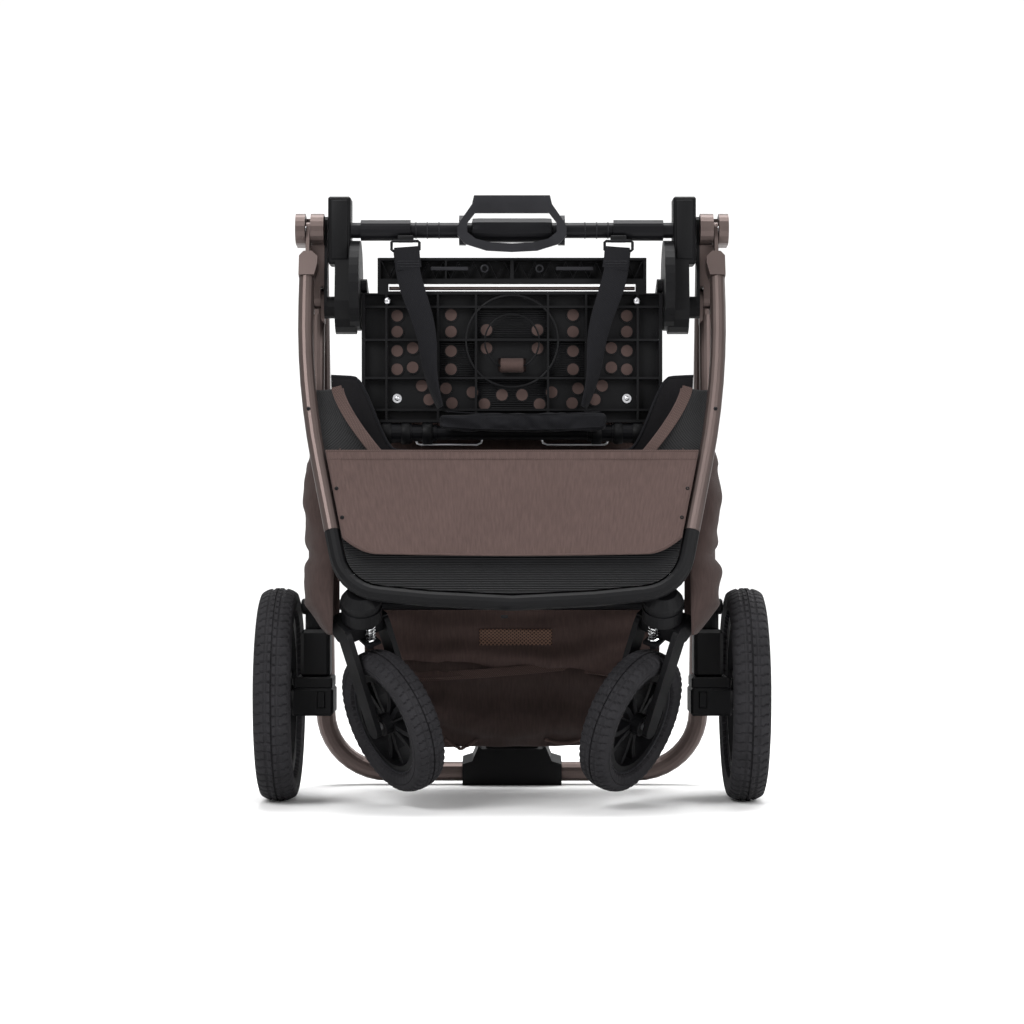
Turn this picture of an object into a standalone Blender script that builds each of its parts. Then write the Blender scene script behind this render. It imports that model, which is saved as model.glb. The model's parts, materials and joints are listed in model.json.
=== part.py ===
"""A folding pet stroller, folded and standing up on its rear wheels and its handlebar.

-Y faces the viewer, +Z is up, left is -X. Each body hangs from an empty on its joint's axis.
"""

import math

import bmesh
import bpy
from mathutils import Matrix, Vector

GAP = 0.0003  # between pieces that touch

# Hub: the casting that carries the legs and the handlebar
HUB_INNER, HUB_OUTER = 0.2246, 0.2582
PIVOT_Z = 0.683
FRONT_PIVOT = (-0.005, PIVOT_Z)
REAR_PIVOT = (0.015, 0.602)
HANDLE_PIVOT = (0.036, 0.678)
KNUCKLE_R, REAR_LUG_R, HANDLE_LUG_R = 0.0186, 0.0125, 0.0160
PIN_R, PIN_BORE_R = 0.004, 0.0044

# Front frame, in its own leaning plane: x across, drop down from the pivot
FRONT_LEAN = math.radians(20.5)
LEG_X = 0.2439
TUBE_R = 0.0090
LEG_BEND_DROP, LEG_END_DROP = 0.200, 0.384
CORNER_X, CORNER_DROP, CORNER_R = 0.1915, 0.456, 0.055
BAR_DROP, BAR_CROWN_R = 0.476, 0.9
CAP_TOP_DROP, CAP_END_DROP = 0.033, 0.064
PANEL_TOP_DROP, PANEL_LOW_DROP, PANEL_THICK = 0.288, 0.417, 0.003
PLATE_TOP_DROP, PLATE_THICK = 0.385, 0.006

# Casters: the stem leans back, the wheel trails from it
STEM = (0.1725, -0.146, 0.244)
STEM_LEAN, SWIVEL_REST = math.radians(36), math.radians(36)
WHEEL_DROP, WHEEL_TRAIL = 0.140, 0.058
FRONT_WHEEL_R, FRONT_TYRE_W = 0.086, 0.038
FORK_INNER, FORK_THICK = 0.0225, 0.0065

# Rear frame
REAR_WHEEL_R, REAR_TYRE_W = 0.127, 0.044
REAR_WHEEL_X = 0.278
REAR_LEG_R = 0.00875
REAR_LEG_TOP_X, REAR_LEG_LOW_X = 0.2336, 0.2356
SLEEVE_TOP, SLEEVE_LOW = 0.242, 0.2045
CROSS_TUBE = (0.055, 0.232)
CROSS_TUBE_R = 0.0065

# Handlebar, in its own leaning plane
HANDLE_X, HANDLE_R, HANDLE_CORNER_R = 0.2346, 0.0122, 0.078
HANDLE_FOOT = (0.185, 0.0165)
HOUSING_HALF, BUTTON_HALF = 0.0625, 0.0325

# Seat unit
SEAT_AXIS = (0.0, 0.590)
RECLINE_AXIS = (0.0, 0.616)
SEAT_SIDE_OUTER = 0.2190
DISC_R, DISC_INNER = 0.054, 0.1810
CARRY_TUBE = (-0.012, 0.681)
FRONT_TUBE = (-0.004, 0.4395)
BOARD_HALF, BOARD_LOW, BOARD_TOP = 0.1795, 0.452, 0.6485
BOARD_FRONT, BOARD_BACK = -0.012, 0.003

# Backrest and canopy, in the backrest's own leaning frame
BACK_LEAN = math.radians(7.5)
BACK_HALF, BACK_LENGTH = 0.178, 0.450
PAD_FRONT, PAD_BACK = 0.026, 0.0415
CANOPY_PIVOT_DROP = 0.380
CANOPY_BEHIND = 0.0165  # its pivot stands this far behind the padding, clear of the shell

BRONZE = ("bronze", (0.42, 0.35, 0.33), 0.35, 0.8)
BLACK = ("black_plastic", (0.02, 0.02, 0.022), 0.5, 0.0)
TYRE = ("tyre", (0.03, 0.03, 0.03), 0.85, 0.0)
STEEL = ("steel", (0.75, 0.75, 0.77), 0.25, 1.0)
FABRIC = ("brown_fabric", (0.20, 0.145, 0.13), 0.9, 0.0)
WEBBING = ("black_webbing", (0.02, 0.02, 0.022), 0.85, 0.0)
SIDES = (("left", -1), ("right", 1))


# ---------------------------------------------------------------- helpers
def clear_scene():
    for obj in list(bpy.data.objects):
        bpy.data.objects.remove(obj, do_unlink=True)


def finish_of(name, colour, roughness, metallic):
    made = bpy.data.materials.get(name)
    if made is None:
        made = bpy.data.materials.new(name)
        made.use_nodes = True
        shader = made.node_tree.nodes["Principled BSDF"]
        shader.inputs["Base Color"].default_value = (*colour, 1)
        shader.inputs["Roughness"].default_value = roughness
        shader.inputs["Metallic"].default_value = metallic
    return made


def body(name, place, parent=None):
    """The empty that a moving body hangs from, on its joint's axis."""
    empty = bpy.data.objects.new(name, None)
    bpy.context.collection.objects.link(empty)
    if parent:
        empty.parent = parent
        empty.matrix_parent_inverse = parent.matrix_world.inverted()
    empty.matrix_basis = place
    bpy.context.view_layer.update()
    return empty


def at(x, y, z):
    return Matrix.Translation((x, y, z))


def leaning(pivot, lean, x=0.0):
    """A frame at this pivot whose own -Z leans by this angle from straight down towards +Y."""
    return at(x, *pivot) @ Matrix.Rotation(lean, 4, "X")


def made(name, mesh, finish, parent, place=None):
    bmesh.ops.recalc_face_normals(mesh, faces=mesh.faces)
    data = bpy.data.meshes.new(name)
    mesh.to_mesh(data)
    mesh.free()
    data.shade_smooth()
    data.set_sharp_from_angle(angle=math.radians(35))
    data.materials.append(finish_of(*finish))
    obj = bpy.data.objects.new(name, data)
    bpy.context.collection.objects.link(obj)
    obj.parent = parent
    obj.matrix_parent_inverse = parent.matrix_world.inverted()
    obj.matrix_basis = place or Matrix()
    return obj


def combine(target, operation, *others):
    for other in others:
        other.hide_render = True
        other.display_type = "WIRE"
        change = target.modifiers.new(other.name, "BOOLEAN")
        change.operation = operation
        change.object = other
    return target


def circle(centre, radius, start=0.0, end=360.0, steps=16):
    """Points on an arc, both ends included unless it is a whole circle."""
    whole = abs(end - start) >= 360
    return [
        (
            centre[0] + radius * math.cos(math.radians(start + (end - start) * i / steps)),
            centre[1] + radius * math.sin(math.radians(start + (end - start) * i / steps)),
        )
        for i in range(steps + (0 if whole else 1))
    ]


def capsule(a, b, radius_a, radius_b, steps=8):
    """The outline round two circles."""
    away = Vector(b) - Vector(a)
    heading = math.degrees(math.atan2(away.y, away.x))
    tilt = math.degrees(math.acos((radius_a - radius_b) / away.length))
    return circle(a, radius_a, heading + tilt, heading + 360 - tilt, steps) + circle(
        b, radius_b, heading - tilt, heading + tilt, steps
    )


def bent_path(corners, radii, turn=12.0):
    """A path through these corners, each inner one rounded by its own radius."""
    points = [Vector(corner) for corner in corners]
    path = [points[0]]
    for before, corner, after, radius in zip(points, points[1:], points[2:], radii):
        a, b = (before - corner).normalized(), (after - corner).normalized()
        angle = math.pi - a.angle(b)
        centre = corner + (a + b).normalized() * radius / math.cos(angle / 2)
        spoke = corner + a * radius * math.tan(angle / 2) - centre
        last = corner + b * radius * math.tan(angle / 2) - centre
        steps = max(2, math.ceil(math.degrees(angle) / turn))
        axis = spoke.cross(last)
        path += [centre + Matrix.Rotation(angle * i / steps, 3, axis) @ spoke for i in range(steps + 1)]
    return path + [points[-1]]


def side_step(path, distance):
    """The same path in the XZ plane, moved sideways to its own left."""
    moved = []
    for i, point in enumerate(path):
        ahead = path[min(i + 1, len(path) - 1)] - path[max(i - 1, 0)]
        moved.append(point + Vector((-ahead.z, 0, ahead.x)).normalized() * distance)
    return moved


def swept(path, radius, sides=12):
    """A round tube along a path, with closed ends."""
    mesh = bmesh.new()
    path = [Vector(point) for point in path]
    tangents = [
        (path[min(i + 1, len(path) - 1)] - path[max(i - 1, 0)]).normalized() for i in range(len(path))
    ]
    across = tangents[0].orthogonal().normalized()
    rings = []
    for point, tangent in zip(path, tangents):
        across = (across - tangent * across.dot(tangent)).normalized()
        other = tangent.cross(across)
        rings.append(
            [
                mesh.verts.new(point + (across * math.cos(a) + other * math.sin(a)) * radius)
                for a in (math.tau * k / sides for k in range(sides))
            ]
        )
    for low, high in zip(rings, rings[1:]):
        for k in range(sides):
            mesh.faces.new((low[k - 1], low[k], high[k], high[k - 1]))
    mesh.faces.new(rings[0])
    mesh.faces.new(rings[-1])
    return mesh


def turned(profile, sides=24, ring=False):
    """A solid turned about X from (along, radius) points; a ring's profile is a closed loop."""
    mesh = bmesh.new()
    rows = []
    for along, radius in profile:
        if radius == 0:
            rows.append([mesh.verts.new((along, 0, 0))])
            continue
        rows.append(
            [
                mesh.verts.new((along, radius * math.cos(a), radius * math.sin(a)))
                for a in (math.tau * k / sides for k in range(sides))
            ]
        )
    pairs = list(zip(rows, rows[1:])) + ([(rows[-1], rows[0])] if ring else [])
    for low, high in pairs:
        for k in range(sides):
            corners = [low[k - 1], low[k]] if len(low) > 1 else [low[0]]
            corners += [high[k], high[k - 1]] if len(high) > 1 else [high[0]]
            mesh.faces.new(corners)
    return mesh


def prism(outline, low, high, axis="X"):
    """A closed outline pushed from low to high along an axis; it is (y, z), (x, z) or (x, y)."""
    place = {
        "X": lambda u, v, w: (w, u, v), "Y": lambda u, v, w: (u, w, v), "Z": lambda u, v, w: (u, v, w),
    }[axis]
    mesh = bmesh.new()
    near = [mesh.verts.new(place(u, v, low)) for u, v in outline]
    far = [mesh.verts.new(place(u, v, high)) for u, v in outline]
    mesh.faces.new(near)
    mesh.faces.new(far)
    for k in range(len(outline)):
        mesh.faces.new((near[k - 1], near[k], far[k], far[k - 1]))
    return mesh


def block(low, high, edge=0.0):
    mesh = bmesh.new()
    size = Vector(high) - Vector(low)
    centre = (Vector(high) + Vector(low)) / 2
    bmesh.ops.create_cube(mesh, size=1, matrix=Matrix.Translation(centre) @ Matrix.Diagonal((*size, 1)))
    if edge:
        bmesh.ops.bevel(mesh, geom=mesh.edges[:], offset=edge, segments=1, affect="EDGES")
    return mesh


def blocks(boxes):
    """Several separate boxes in one mesh, for cutting."""
    mesh = bmesh.new()
    for low, high in boxes:
        size = Vector(high) - Vector(low)
        centre = (Vector(high) + Vector(low)) / 2
        bmesh.ops.create_cube(mesh, size=1, matrix=Matrix.Translation(centre) @ Matrix.Diagonal((*size, 1)))
    return mesh


def span(sign, inner, outer):
    """Low and high X of something between these distances from the middle, on this side."""
    return tuple(sorted((sign * inner, sign * outer)))


def side_block(sign, inner, outer, low, high, edge=0.0):
    """A block on one side, between these distances from the middle; low and high are its y and z."""
    near, far = span(sign, inner, outer)
    return block((near, *low), (far, *high), edge)


def outward(sign):
    """Turns a piece made along +X to point away from the middle on this side."""
    return Matrix.Rotation(math.radians(180 if sign < 0 else 0), 4, "Z")


def rod(half_length, radius, sides):
    return turned([(-half_length, 0), (-half_length, radius), (half_length, radius), (half_length, 0)], sides)


def peg(length, radius, sides):
    return turned([(0, 0), (0, radius), (length, radius), (length, 0)], sides)


# ---------------------------------------------------------------- hub
def hub(side, sign, root):
    knuckle = prism(
        capsule(FRONT_PIVOT, HANDLE_PIVOT, KNUCKLE_R, HANDLE_LUG_R, 10),
        *span(sign, HUB_INNER, HUB_OUTER),
    )
    casting = made(f"hub_{side}", knuckle, BRONZE, root)
    middle = (0.008, PIVOT_Z - 0.005)
    arm = made(
        f"hub_arm_{side}",
        prism(capsule(middle, REAR_PIVOT, 0.0130, REAR_LUG_R, 8), *span(sign, HUB_INNER, 0.2425)),
        BRONZE, root,
    )
    tongue_in, tongue_out = 0.2296, 0.2376
    lug_in, lug_out = 0.2306, 0.2386
    low_z, high_z = REAR_PIVOT[1] - 0.03, REAR_PIVOT[1] + REAR_LUG_R + 0.0008
    behind, ahead = HANDLE_PIVOT[0] - HANDLE_LUG_R - 0.0010, 0.016
    cuts = [
        ((span(sign, 0.22, tongue_in)[0], -0.05, low_z), (span(sign, 0.22, tongue_in)[1], 0.08, high_z)),
        ((span(sign, tongue_out, 0.27)[0], -0.05, low_z), (span(sign, tongue_out, 0.27)[1], 0.08, high_z)),
        ((span(sign, 0.22, lug_in)[0], behind, 0.64), (span(sign, 0.22, lug_in)[1], 0.08, 0.72)),
        ((span(sign, lug_out, 0.27)[0], behind, 0.64), (span(sign, lug_out, 0.27)[1], 0.08, 0.72)),
        ((span(sign, 0.2402, 0.2468)[0], -0.05, 0.64), (span(sign, 0.2402, 0.2468)[1], ahead, 0.72)),
    ]
    slots = made(f"hub_slots_{side}", blocks(cuts), BRONZE, root)
    bore = made(f"hub_bore_{side}", rod(0.03, PIN_BORE_R, 16), BRONZE, root, at(sign * 0.2415, *FRONT_PIVOT))
    combine(casting, "UNION", arm)
    combine(casting, "DIFFERENCE", slots, bore)
    length = 0.0155
    made(f"leg_pin_{side}", rod(length, PIN_R, 12), STEEL, root, at(sign * 0.2414, *FRONT_PIVOT))
    plate = prism(capsule((0.010, 0.688), SEAT_AXIS, 0.012, 0.0135, 6), *span(sign, 0.2208, HUB_INNER - GAP))
    adapter = made(f"seat_adapter_{side}", plate, BLACK, root)
    stub = made(
        f"adapter_stub_{side}", prism(circle(SEAT_AXIS, 0.0132, steps=20), *span(sign, 0.2113, 0.2215)),
        BLACK, root,
    )
    combine(adapter, "UNION", stub)


# ---------------------------------------------------------------- front frame
def frame_path(sign):
    """The front frame's centre line from one leg's bend to the other, in its own plane."""
    corners = [
        (sign * LEG_X, 0, -LEG_BEND_DROP),
        (sign * CORNER_X, 0, -CORNER_DROP),
        (0, 0, -BAR_DROP),
        (-sign * CORNER_X, 0, -CORNER_DROP),
        (-sign * LEG_X, 0, -LEG_BEND_DROP),
    ]
    return [Vector(corner) for corner in corners]


def split_x():
    share = (LEG_END_DROP - LEG_BEND_DROP) / (CORNER_DROP - LEG_BEND_DROP)
    return LEG_X + (CORNER_X - LEG_X) * share


def bar_path():
    corners = frame_path(-1)
    start = Vector((-split_x(), 0, -LEG_END_DROP - GAP))
    end = Vector((split_x(), 0, -LEG_END_DROP - GAP))
    return bent_path([start, *corners[1:4], end], [CORNER_R, BAR_CROWN_R, CORNER_R], 12.0)


def front_frame(frame, place):
    for side, sign in SIDES:
        leg = bent_path(
            [
                (sign * LEG_X, 0, -CAP_END_DROP - GAP), (sign * LEG_X, 0, -LEG_BEND_DROP),
                (sign * split_x(), 0, -LEG_END_DROP),
            ],
            [1.0], 2.0,
        )
        made(f"front_leg_{side}", swept(leg, TUBE_R, 16), BRONZE, frame, place)
        wide, narrow = 0.0128, 0.0092
        outline = [
            (sign * (LEG_X + x), -drop)
            for x, drop in (
                (narrow, CAP_END_DROP), (narrow, CAP_TOP_DROP + 0.006), (0.004, CAP_TOP_DROP),
                (-0.006, CAP_TOP_DROP), (-wide, CAP_TOP_DROP + 0.007), (-wide, CAP_TOP_DROP + 0.016),
                (-narrow, CAP_END_DROP),
            )
        ]
        cap = made(f"leg_cap_{side}", prism(outline, -0.0100, 0.0100, "Y"), BRONZE, frame, place)
        tang_outline = capsule((0, 0), (0, -CAP_TOP_DROP - 0.004), 0.0085, 0.0075, 8)
        tang = made(
            f"leg_tang_{side}", prism(tang_outline, *span(sign, 0.2413, 0.2457)), BRONZE, frame, place,
        )
        hole = made(
            f"tang_hole_{side}", rod(0.03, PIN_BORE_R, 16), BRONZE, frame,
            place @ at(sign * 0.243, 0, 0),
        )
        combine(combine(cap, "UNION", tang), "DIFFERENCE", hole)
    made("footrest_bar", swept(bar_path(), TUBE_R, 12), BLACK, frame, place)

    inner = side_step(bar_path(), TUBE_R + 2 * GAP)
    half = split_x() - TUBE_R - 2 * GAP
    outline = [(-half, -PLATE_TOP_DROP)] + [(p.x, p.z) for p in inner[1:-1]] + [(half, -PLATE_TOP_DROP)]
    made("footrest_plate", prism(outline, -0.004, -0.004 + PLATE_THICK, "Y"), BLACK, frame, place)

    def edge(drop):
        share = (drop - LEG_BEND_DROP) / (CORNER_DROP - LEG_BEND_DROP)
        return LEG_X + (CORNER_X - LEG_X) * share - TUBE_R - 0.0012

    low_side = PANEL_LOW_DROP - 0.022
    right = [
        (edge(PANEL_TOP_DROP), PANEL_TOP_DROP), (edge(low_side), low_side),
        (edge(low_side) - 0.009, low_side + 0.009), (edge(low_side) - 0.028, low_side + 0.0145),
        (0.100, PANEL_LOW_DROP - 0.004),
    ]
    outline = [(x, -drop) for x, drop in right] + [(0, -PANEL_LOW_DROP)] + [
        (-x, -drop)
        for x, drop in reversed(right)
    ]
    made("basket_front", prism(outline, -0.0085, -0.0085 + PANEL_THICK, "Y"), FABRIC, frame, place)

    for side, sign in SIDES:
        stem = stem_place(sign)
        profile = [
            (-0.012, 0), (-0.012, 0.016), (-0.002, 0.0235), (0.002, 0.024), (0.0022, 0.0222),
            (0.0082, 0.0222), (0.0085, 0.0236), (0.0245, 0.0236), (0.0245, 0.0088), (-0.004, 0.0088),
            (-0.004, 0),
        ]
        housing = made(
            f"caster_housing_{side}", turned(profile, 24), BLACK, frame,
            stem @ Matrix.Rotation(math.radians(90), 4, "Y"),
        )
        cutter = made(f"housing_groove_{side}", swept(bar_path(), TUBE_R + GAP, 12), BLACK, frame, place)
        combine(housing, "DIFFERENCE", cutter)


def stem_place(sign):
    """The stem's frame: its own -Z runs down the stem."""
    return at(sign * STEM[0], STEM[1], STEM[2]) @ Matrix.Rotation(STEM_LEAN, 4, "X")


# ---------------------------------------------------------------- casters and wheels
def caster_place(sign):
    return stem_place(sign) @ Matrix.Rotation(math.radians(180) - sign * SWIVEL_REST, 4, "Z")


def caster(side, sign, swivel):
    place = caster_place(sign)
    outer = FORK_INNER + FORK_THICK
    arm = capsule((0.004, -0.040), (WHEEL_TRAIL, -WHEEL_DROP), 0.0125, 0.0115, 8)
    crown = prism(
        [(-0.024, -0.0265), (0.0095, -0.0265), (0.0095, -0.0470), (-0.008, -0.052), (-0.024, -0.046)],
        -outer, outer,
    )
    fork = made(f"caster_fork_{side}", crown, BLACK, swivel, place)
    arms = []
    for k, facing in enumerate((-1, 1)):
        arms.append(
            made(
                f"fork_arm_{side}_{k}", prism(arm, *span(facing, FORK_INNER, outer)), BLACK, swivel,
                place,
            ),
        )
    seat = made(
        f"spring_seat_{side}", block((-0.009, 0.006, -0.0510), (0.009, 0.0255, -0.0475)), BLACK, swivel,
        place,
    )
    stem = made(f"fork_stem_{side}", peg(0.034, 0.0082, 14), BLACK, swivel,
                place @ at(0, 0, 0) @ Matrix.Rotation(math.radians(90), 4, "Y"))
    combine(fork, "UNION", *arms, seat, stem)
    turns, wire, coil, points = 4.5, 0.0012, 0.0055, 8
    low, high = -0.0475 + wire + GAP * 2, -0.0245 - wire - GAP * 2
    steps = int(turns * points)
    helix = [
        (
            coil * math.cos(math.tau * i / points), 0.0165 + coil * math.sin(math.tau * i / points),
            low + (high - low) * i / steps,
        )
        for i in range(steps + 1)
    ]
    made(f"caster_spring_{side}", swept(helix, wire, 5), STEEL, swivel, place)
    reach = FORK_INNER - GAP
    made(f"front_axle_{side}", rod(reach, 0.005, 12), STEEL, swivel, place @ at(0, WHEEL_TRAIL, -WHEEL_DROP))


def wheel(name, radius, tyre_width, wall, axle_bore, hub_r, core, spokes, parent, place):
    """A rim with paired spokes and a tyre, turned about the frame's own X."""
    half, inner = tyre_width / 2, radius - wall
    profile = [
        (-half * 0.62, inner), (-half * 0.93, inner + wall * 0.28), (-half, inner + wall * 0.55),
        (-half * 0.82, inner + wall * 0.86), (-half * 0.42, radius * 0.996), (0, radius),
        (half * 0.42, radius * 0.996), (half * 0.82, inner + wall * 0.86), (half, inner + wall * 0.55),
        (half * 0.93, inner + wall * 0.28), (half * 0.62, inner),
    ]
    made(f"{name.replace('_wheel', '_tyre')}", turned(profile, 32, True), TYRE, parent, place)
    rim_half, rim_out = half * 0.60, inner - GAP * 2
    rim_in = rim_out - 0.009
    ring = [(-rim_half, rim_in), (-rim_half, rim_out), (rim_half, rim_out), (rim_half, rim_in)]
    rim = made(f"{name.replace('_wheel', '_rim')}", turned(ring, 32, True), BLACK, parent, place)
    bars = bmesh.new()
    for k in range(spokes):
        for lean in (-1, 1):
            angle = math.tau * k / spokes + lean * math.pi / spokes * 0.30
            away = Vector((0, math.cos(angle), math.sin(angle)))
            across = Vector((0, -math.sin(angle), math.cos(angle)))
            start = away * (hub_r * 0.70) + across * lean * 0.0012
            end = away * (rim_in + 0.004) + across * lean * radius * 0.055
            bend = (start + end) / 2 - across * lean * radius * 0.03
            width = 0.0032
            corners = []
            for point in (start, bend, end):
                corners.append(
                    [
                        bars.verts.new(point + across * s * width + Vector((t * rim_half * 0.55, 0, 0)))
                        for s, t in ((-1, -1), (1, -1), (1, 1), (-1, 1))
                    ]
                )
            for low, high in zip(corners, corners[1:]):
                for i in range(4):
                    bars.faces.new((low[i - 1], low[i], high[i], high[i - 1]))
            bars.faces.new(corners[0])
            bars.faces.new(corners[-1])
    spoke = made(f"{name}_spokes", bars, BLACK, parent, place)
    low, high = core
    middle = made(
        f"{name}_core", turned([(low, 0), (low, hub_r), (high, hub_r), (high, 0)], 20), BLACK, parent,
        place,
    )
    bore = made(f"{name}_bore", rod(half * 2, axle_bore, 16), BLACK, parent, place)
    combine(combine(rim, "UNION", spoke, middle), "DIFFERENCE", bore)


# ---------------------------------------------------------------- rear frame
def rear_frame(frame, side, sign):
    top_z = REAR_PIVOT[1] - 0.020
    lean = (REAR_PIVOT[0] - 0.0) / (REAR_PIVOT[1] - REAR_WHEEL_R)
    leg_y = lambda z: lean * (z - REAR_WHEEL_R)
    top = (sign * REAR_LEG_TOP_X, leg_y(top_z), top_z)
    low = (sign * REAR_LEG_LOW_X, leg_y(SLEEVE_TOP), SLEEVE_TOP + GAP)
    leg = made(f"rear_leg_{side}", swept([top, low], REAR_LEG_R, 16), BRONZE, frame)
    cheek = capsule(REAR_PIVOT, (leg_y(top_z), top_z - 0.004), 0.0115, 0.0078, 8)
    for k, (inner, outer) in enumerate(((0.2250, 0.2292), (0.2380, 0.2424))):
        combine(
            leg, "UNION",
            made(f"rear_cheek_{side}_{k}", prism(cheek, *span(sign, inner, outer)), BRONZE, frame),
        )

    centre = sign * REAR_LEG_LOW_X
    lower = made(
        f"wheel_bracket_{side}",
        side_block(sign, 0.2120, 0.2620, (-0.034, 0.1030), (0.036, 0.1362), 0.003), BLACK, frame,
    )
    band = made(
        f"bracket_band_{side}",
        side_block(sign, 0.2132, 0.2576, (-0.031, 0.1350), (0.033, 0.1490), 0.002), BLACK, frame,
    )
    upper = made(
        f"bracket_upper_{side}",
        side_block(sign, 0.2168, 0.2516, (-0.024, 0.1480), (0.024, 0.2050), 0.004), BLACK, frame,
    )
    sleeve = made(f"bracket_sleeve_{side}", peg(SLEEVE_TOP - 0.2, 0.0120, 20), BLACK, frame,
                  at(centre, 0.001, 0.2) @ Matrix.Rotation(math.radians(-90), 4, "Y"))
    knob_profile = [(0, 0), (0, 0.0095), (0.0145, 0.0095), (0.0165, 0.0075), (0.0165, 0)]
    knob_place = at(centre, 0.001, 0.2318) @ outward(sign)
    knob = made(f"bracket_knob_{side}", turned(knob_profile, 16), BLACK, frame, knob_place)
    lug_y, lug_z = CROSS_TUBE
    lug = made(
        f"bracket_lug_{side}",
        prism(capsule((0.004, 0.2240), (lug_y, lug_z), 0.0100, 0.0100, 6), *span(sign, 0.2258, 0.2440)),
        BLACK, frame,
    )
    pocket = made(
        f"bracket_pocket_{side}", side_block(sign, 0.2213, 0.2315, (-0.05, 0.1122), (-0.0280, 0.1322)),
        BLACK, frame,
    )
    combine(combine(lower, "UNION", band, upper, sleeve, knob, lug), "DIFFERENCE", pocket)
    button = body(f"wheel_release_{side}_axis", at(sign * 0.2264, -0.034, 0.1222), frame)
    made(
        f"wheel_release_{side}",
        side_block(sign, 0.2217, 0.2311, (-0.0345, 0.1126), (-0.0315, 0.1318), 0.0010), BLACK, button,
    )
    made(f"rear_axle_{side}", peg(0.0330, 0.006, 14), STEEL, frame,
         at(sign * (0.2620 + GAP), 0, REAR_WHEEL_R) @ outward(sign))


def rear_middle(frame):
    reach = 0.2258 - GAP
    made("cross_tube", swept([(-reach, *CROSS_TUBE), (reach, *CROSS_TUBE)], CROSS_TUBE_R, 14), BLACK, frame)
    half, skin, floor = 0.199, 0.0025, 0.268
    top = PIVOT_Z - PANEL_TOP_DROP * math.cos(FRONT_LEAN) + 0.006
    front = lambda z: FRONT_PIVOT[0] - (PIVOT_Z - z) * math.tan(FRONT_LEAN) + 0.022
    back = -0.0300

    def tub(x, y_back, z_low, z_high, lead):
        mesh = bmesh.new()
        rows = [
            [
                mesh.verts.new(p)
                for p in (
                    (-x, front(z) + lead, z), (x, front(z) + lead, z), (x, y_back, z), (-x, y_back, z),
                )
            ]
            for z in (z_low, z_high)
        ]
        for row in rows:
            mesh.faces.new(row)
        for k in range(4):
            mesh.faces.new((rows[0][k - 1], rows[0][k], rows[1][k], rows[1][k - 1]))
        return mesh

    outer = made("basket_rear", tub(half, back, floor, top, 0), FABRIC, frame)
    inner = made(
        "basket_rear_inside", tub(half - skin, back - skin, floor + skin, top + 0.02, -0.03), FABRIC,
        frame,
    )
    combine(outer, "DIFFERENCE", inner)


def brake(frame):
    pivot = (0.043, 0.145)
    axis = body("brake_axis", at(0.237, *pivot), frame)
    pedal = made(
        "brake_pedal", prism(capsule(pivot, (0.085, 0.150), 0.0062, 0.0040, 6), 0.226, 0.248), BLACK,
        axis,
    )
    return pedal


# ---------------------------------------------------------------- handlebar
def handlebar(bar):
    foot = Vector((HANDLE_FOOT[0] - HANDLE_PIVOT[0], HANDLE_FOOT[1] - HANDLE_PIVOT[1]))
    lean, length = math.atan2(foot.x, -foot.y), foot.length
    place = leaning(HANDLE_PIVOT, lean)
    for side, sign in SIDES:
        path = bent_path(
            [
                (sign * HANDLE_X, 0, -0.028), (sign * HANDLE_X, 0, -length),
                (sign * (HOUSING_HALF + GAP), 0, -length),
            ],
            [HANDLE_CORNER_R], 9.0,
        )
        made(f"handle_tube_{side}", swept(path, HANDLE_R, 16), BRONZE, bar, place)
        cheek = capsule((0, 0), (0, -0.0115), 0.0135, 0.0125, 8)
        inner = prism(cheek, *span(sign, 0.2246, 0.2302))
        lug = made(f"handle_lug_{side}", inner, BRONZE, bar, place)
        other = made(
            f"handle_lug_outer_{side}", prism(cheek, *span(sign, 0.2390, 0.2446)), BRONZE, bar, place,
        )
        bridge = made(
            f"handle_lug_bridge_{side}",
            turned([(0, 0), (0, 0.0118), (0.0100, 0.0122), (0.0100, 0)], 16), BRONZE, bar,
            place @ at(sign * HANDLE_X, 0, -0.0277) @ Matrix.Rotation(math.radians(-90), 4, "Y"),
        )
        combine(lug, "UNION", other, bridge)
    depth = 0.0178
    low, shoulder, top = length + 0.0128, length - 0.0150, length - 0.0350
    outline = [
        (-HOUSING_HALF, -low), (HOUSING_HALF, -low), (HOUSING_HALF, -shoulder),
        (0.050, -shoulder + 0.004), (0.042, -top + 0.004), (0.038, -top), (-0.038, -top),
        (-0.042, -top + 0.004), (-0.050, -shoulder + 0.004), (-HOUSING_HALF, -shoulder),
    ]
    housing = made("handle_housing", prism(outline, -depth, depth, "Y"), BLACK, bar, place)
    pocket = made(
        "button_pocket",
        block(
            (-BUTTON_HALF - 0.0004, -0.0124, -top - 0.009), (BUTTON_HALF + 0.0004, 0.0124, -top + 0.02),
        ),
        BLACK, bar, place,
    )
    combine(housing, "DIFFERENCE", pocket)
    press = body("fold_button_axis", place @ at(0, 0, -top), bar)
    made(
        "fold_button",
        block((-BUTTON_HALF, -0.0120, -top - 0.0025), (BUTTON_HALF, 0.0120, -top + 0.0125), 0.0015),
        BLACK, press, place,
    )


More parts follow.
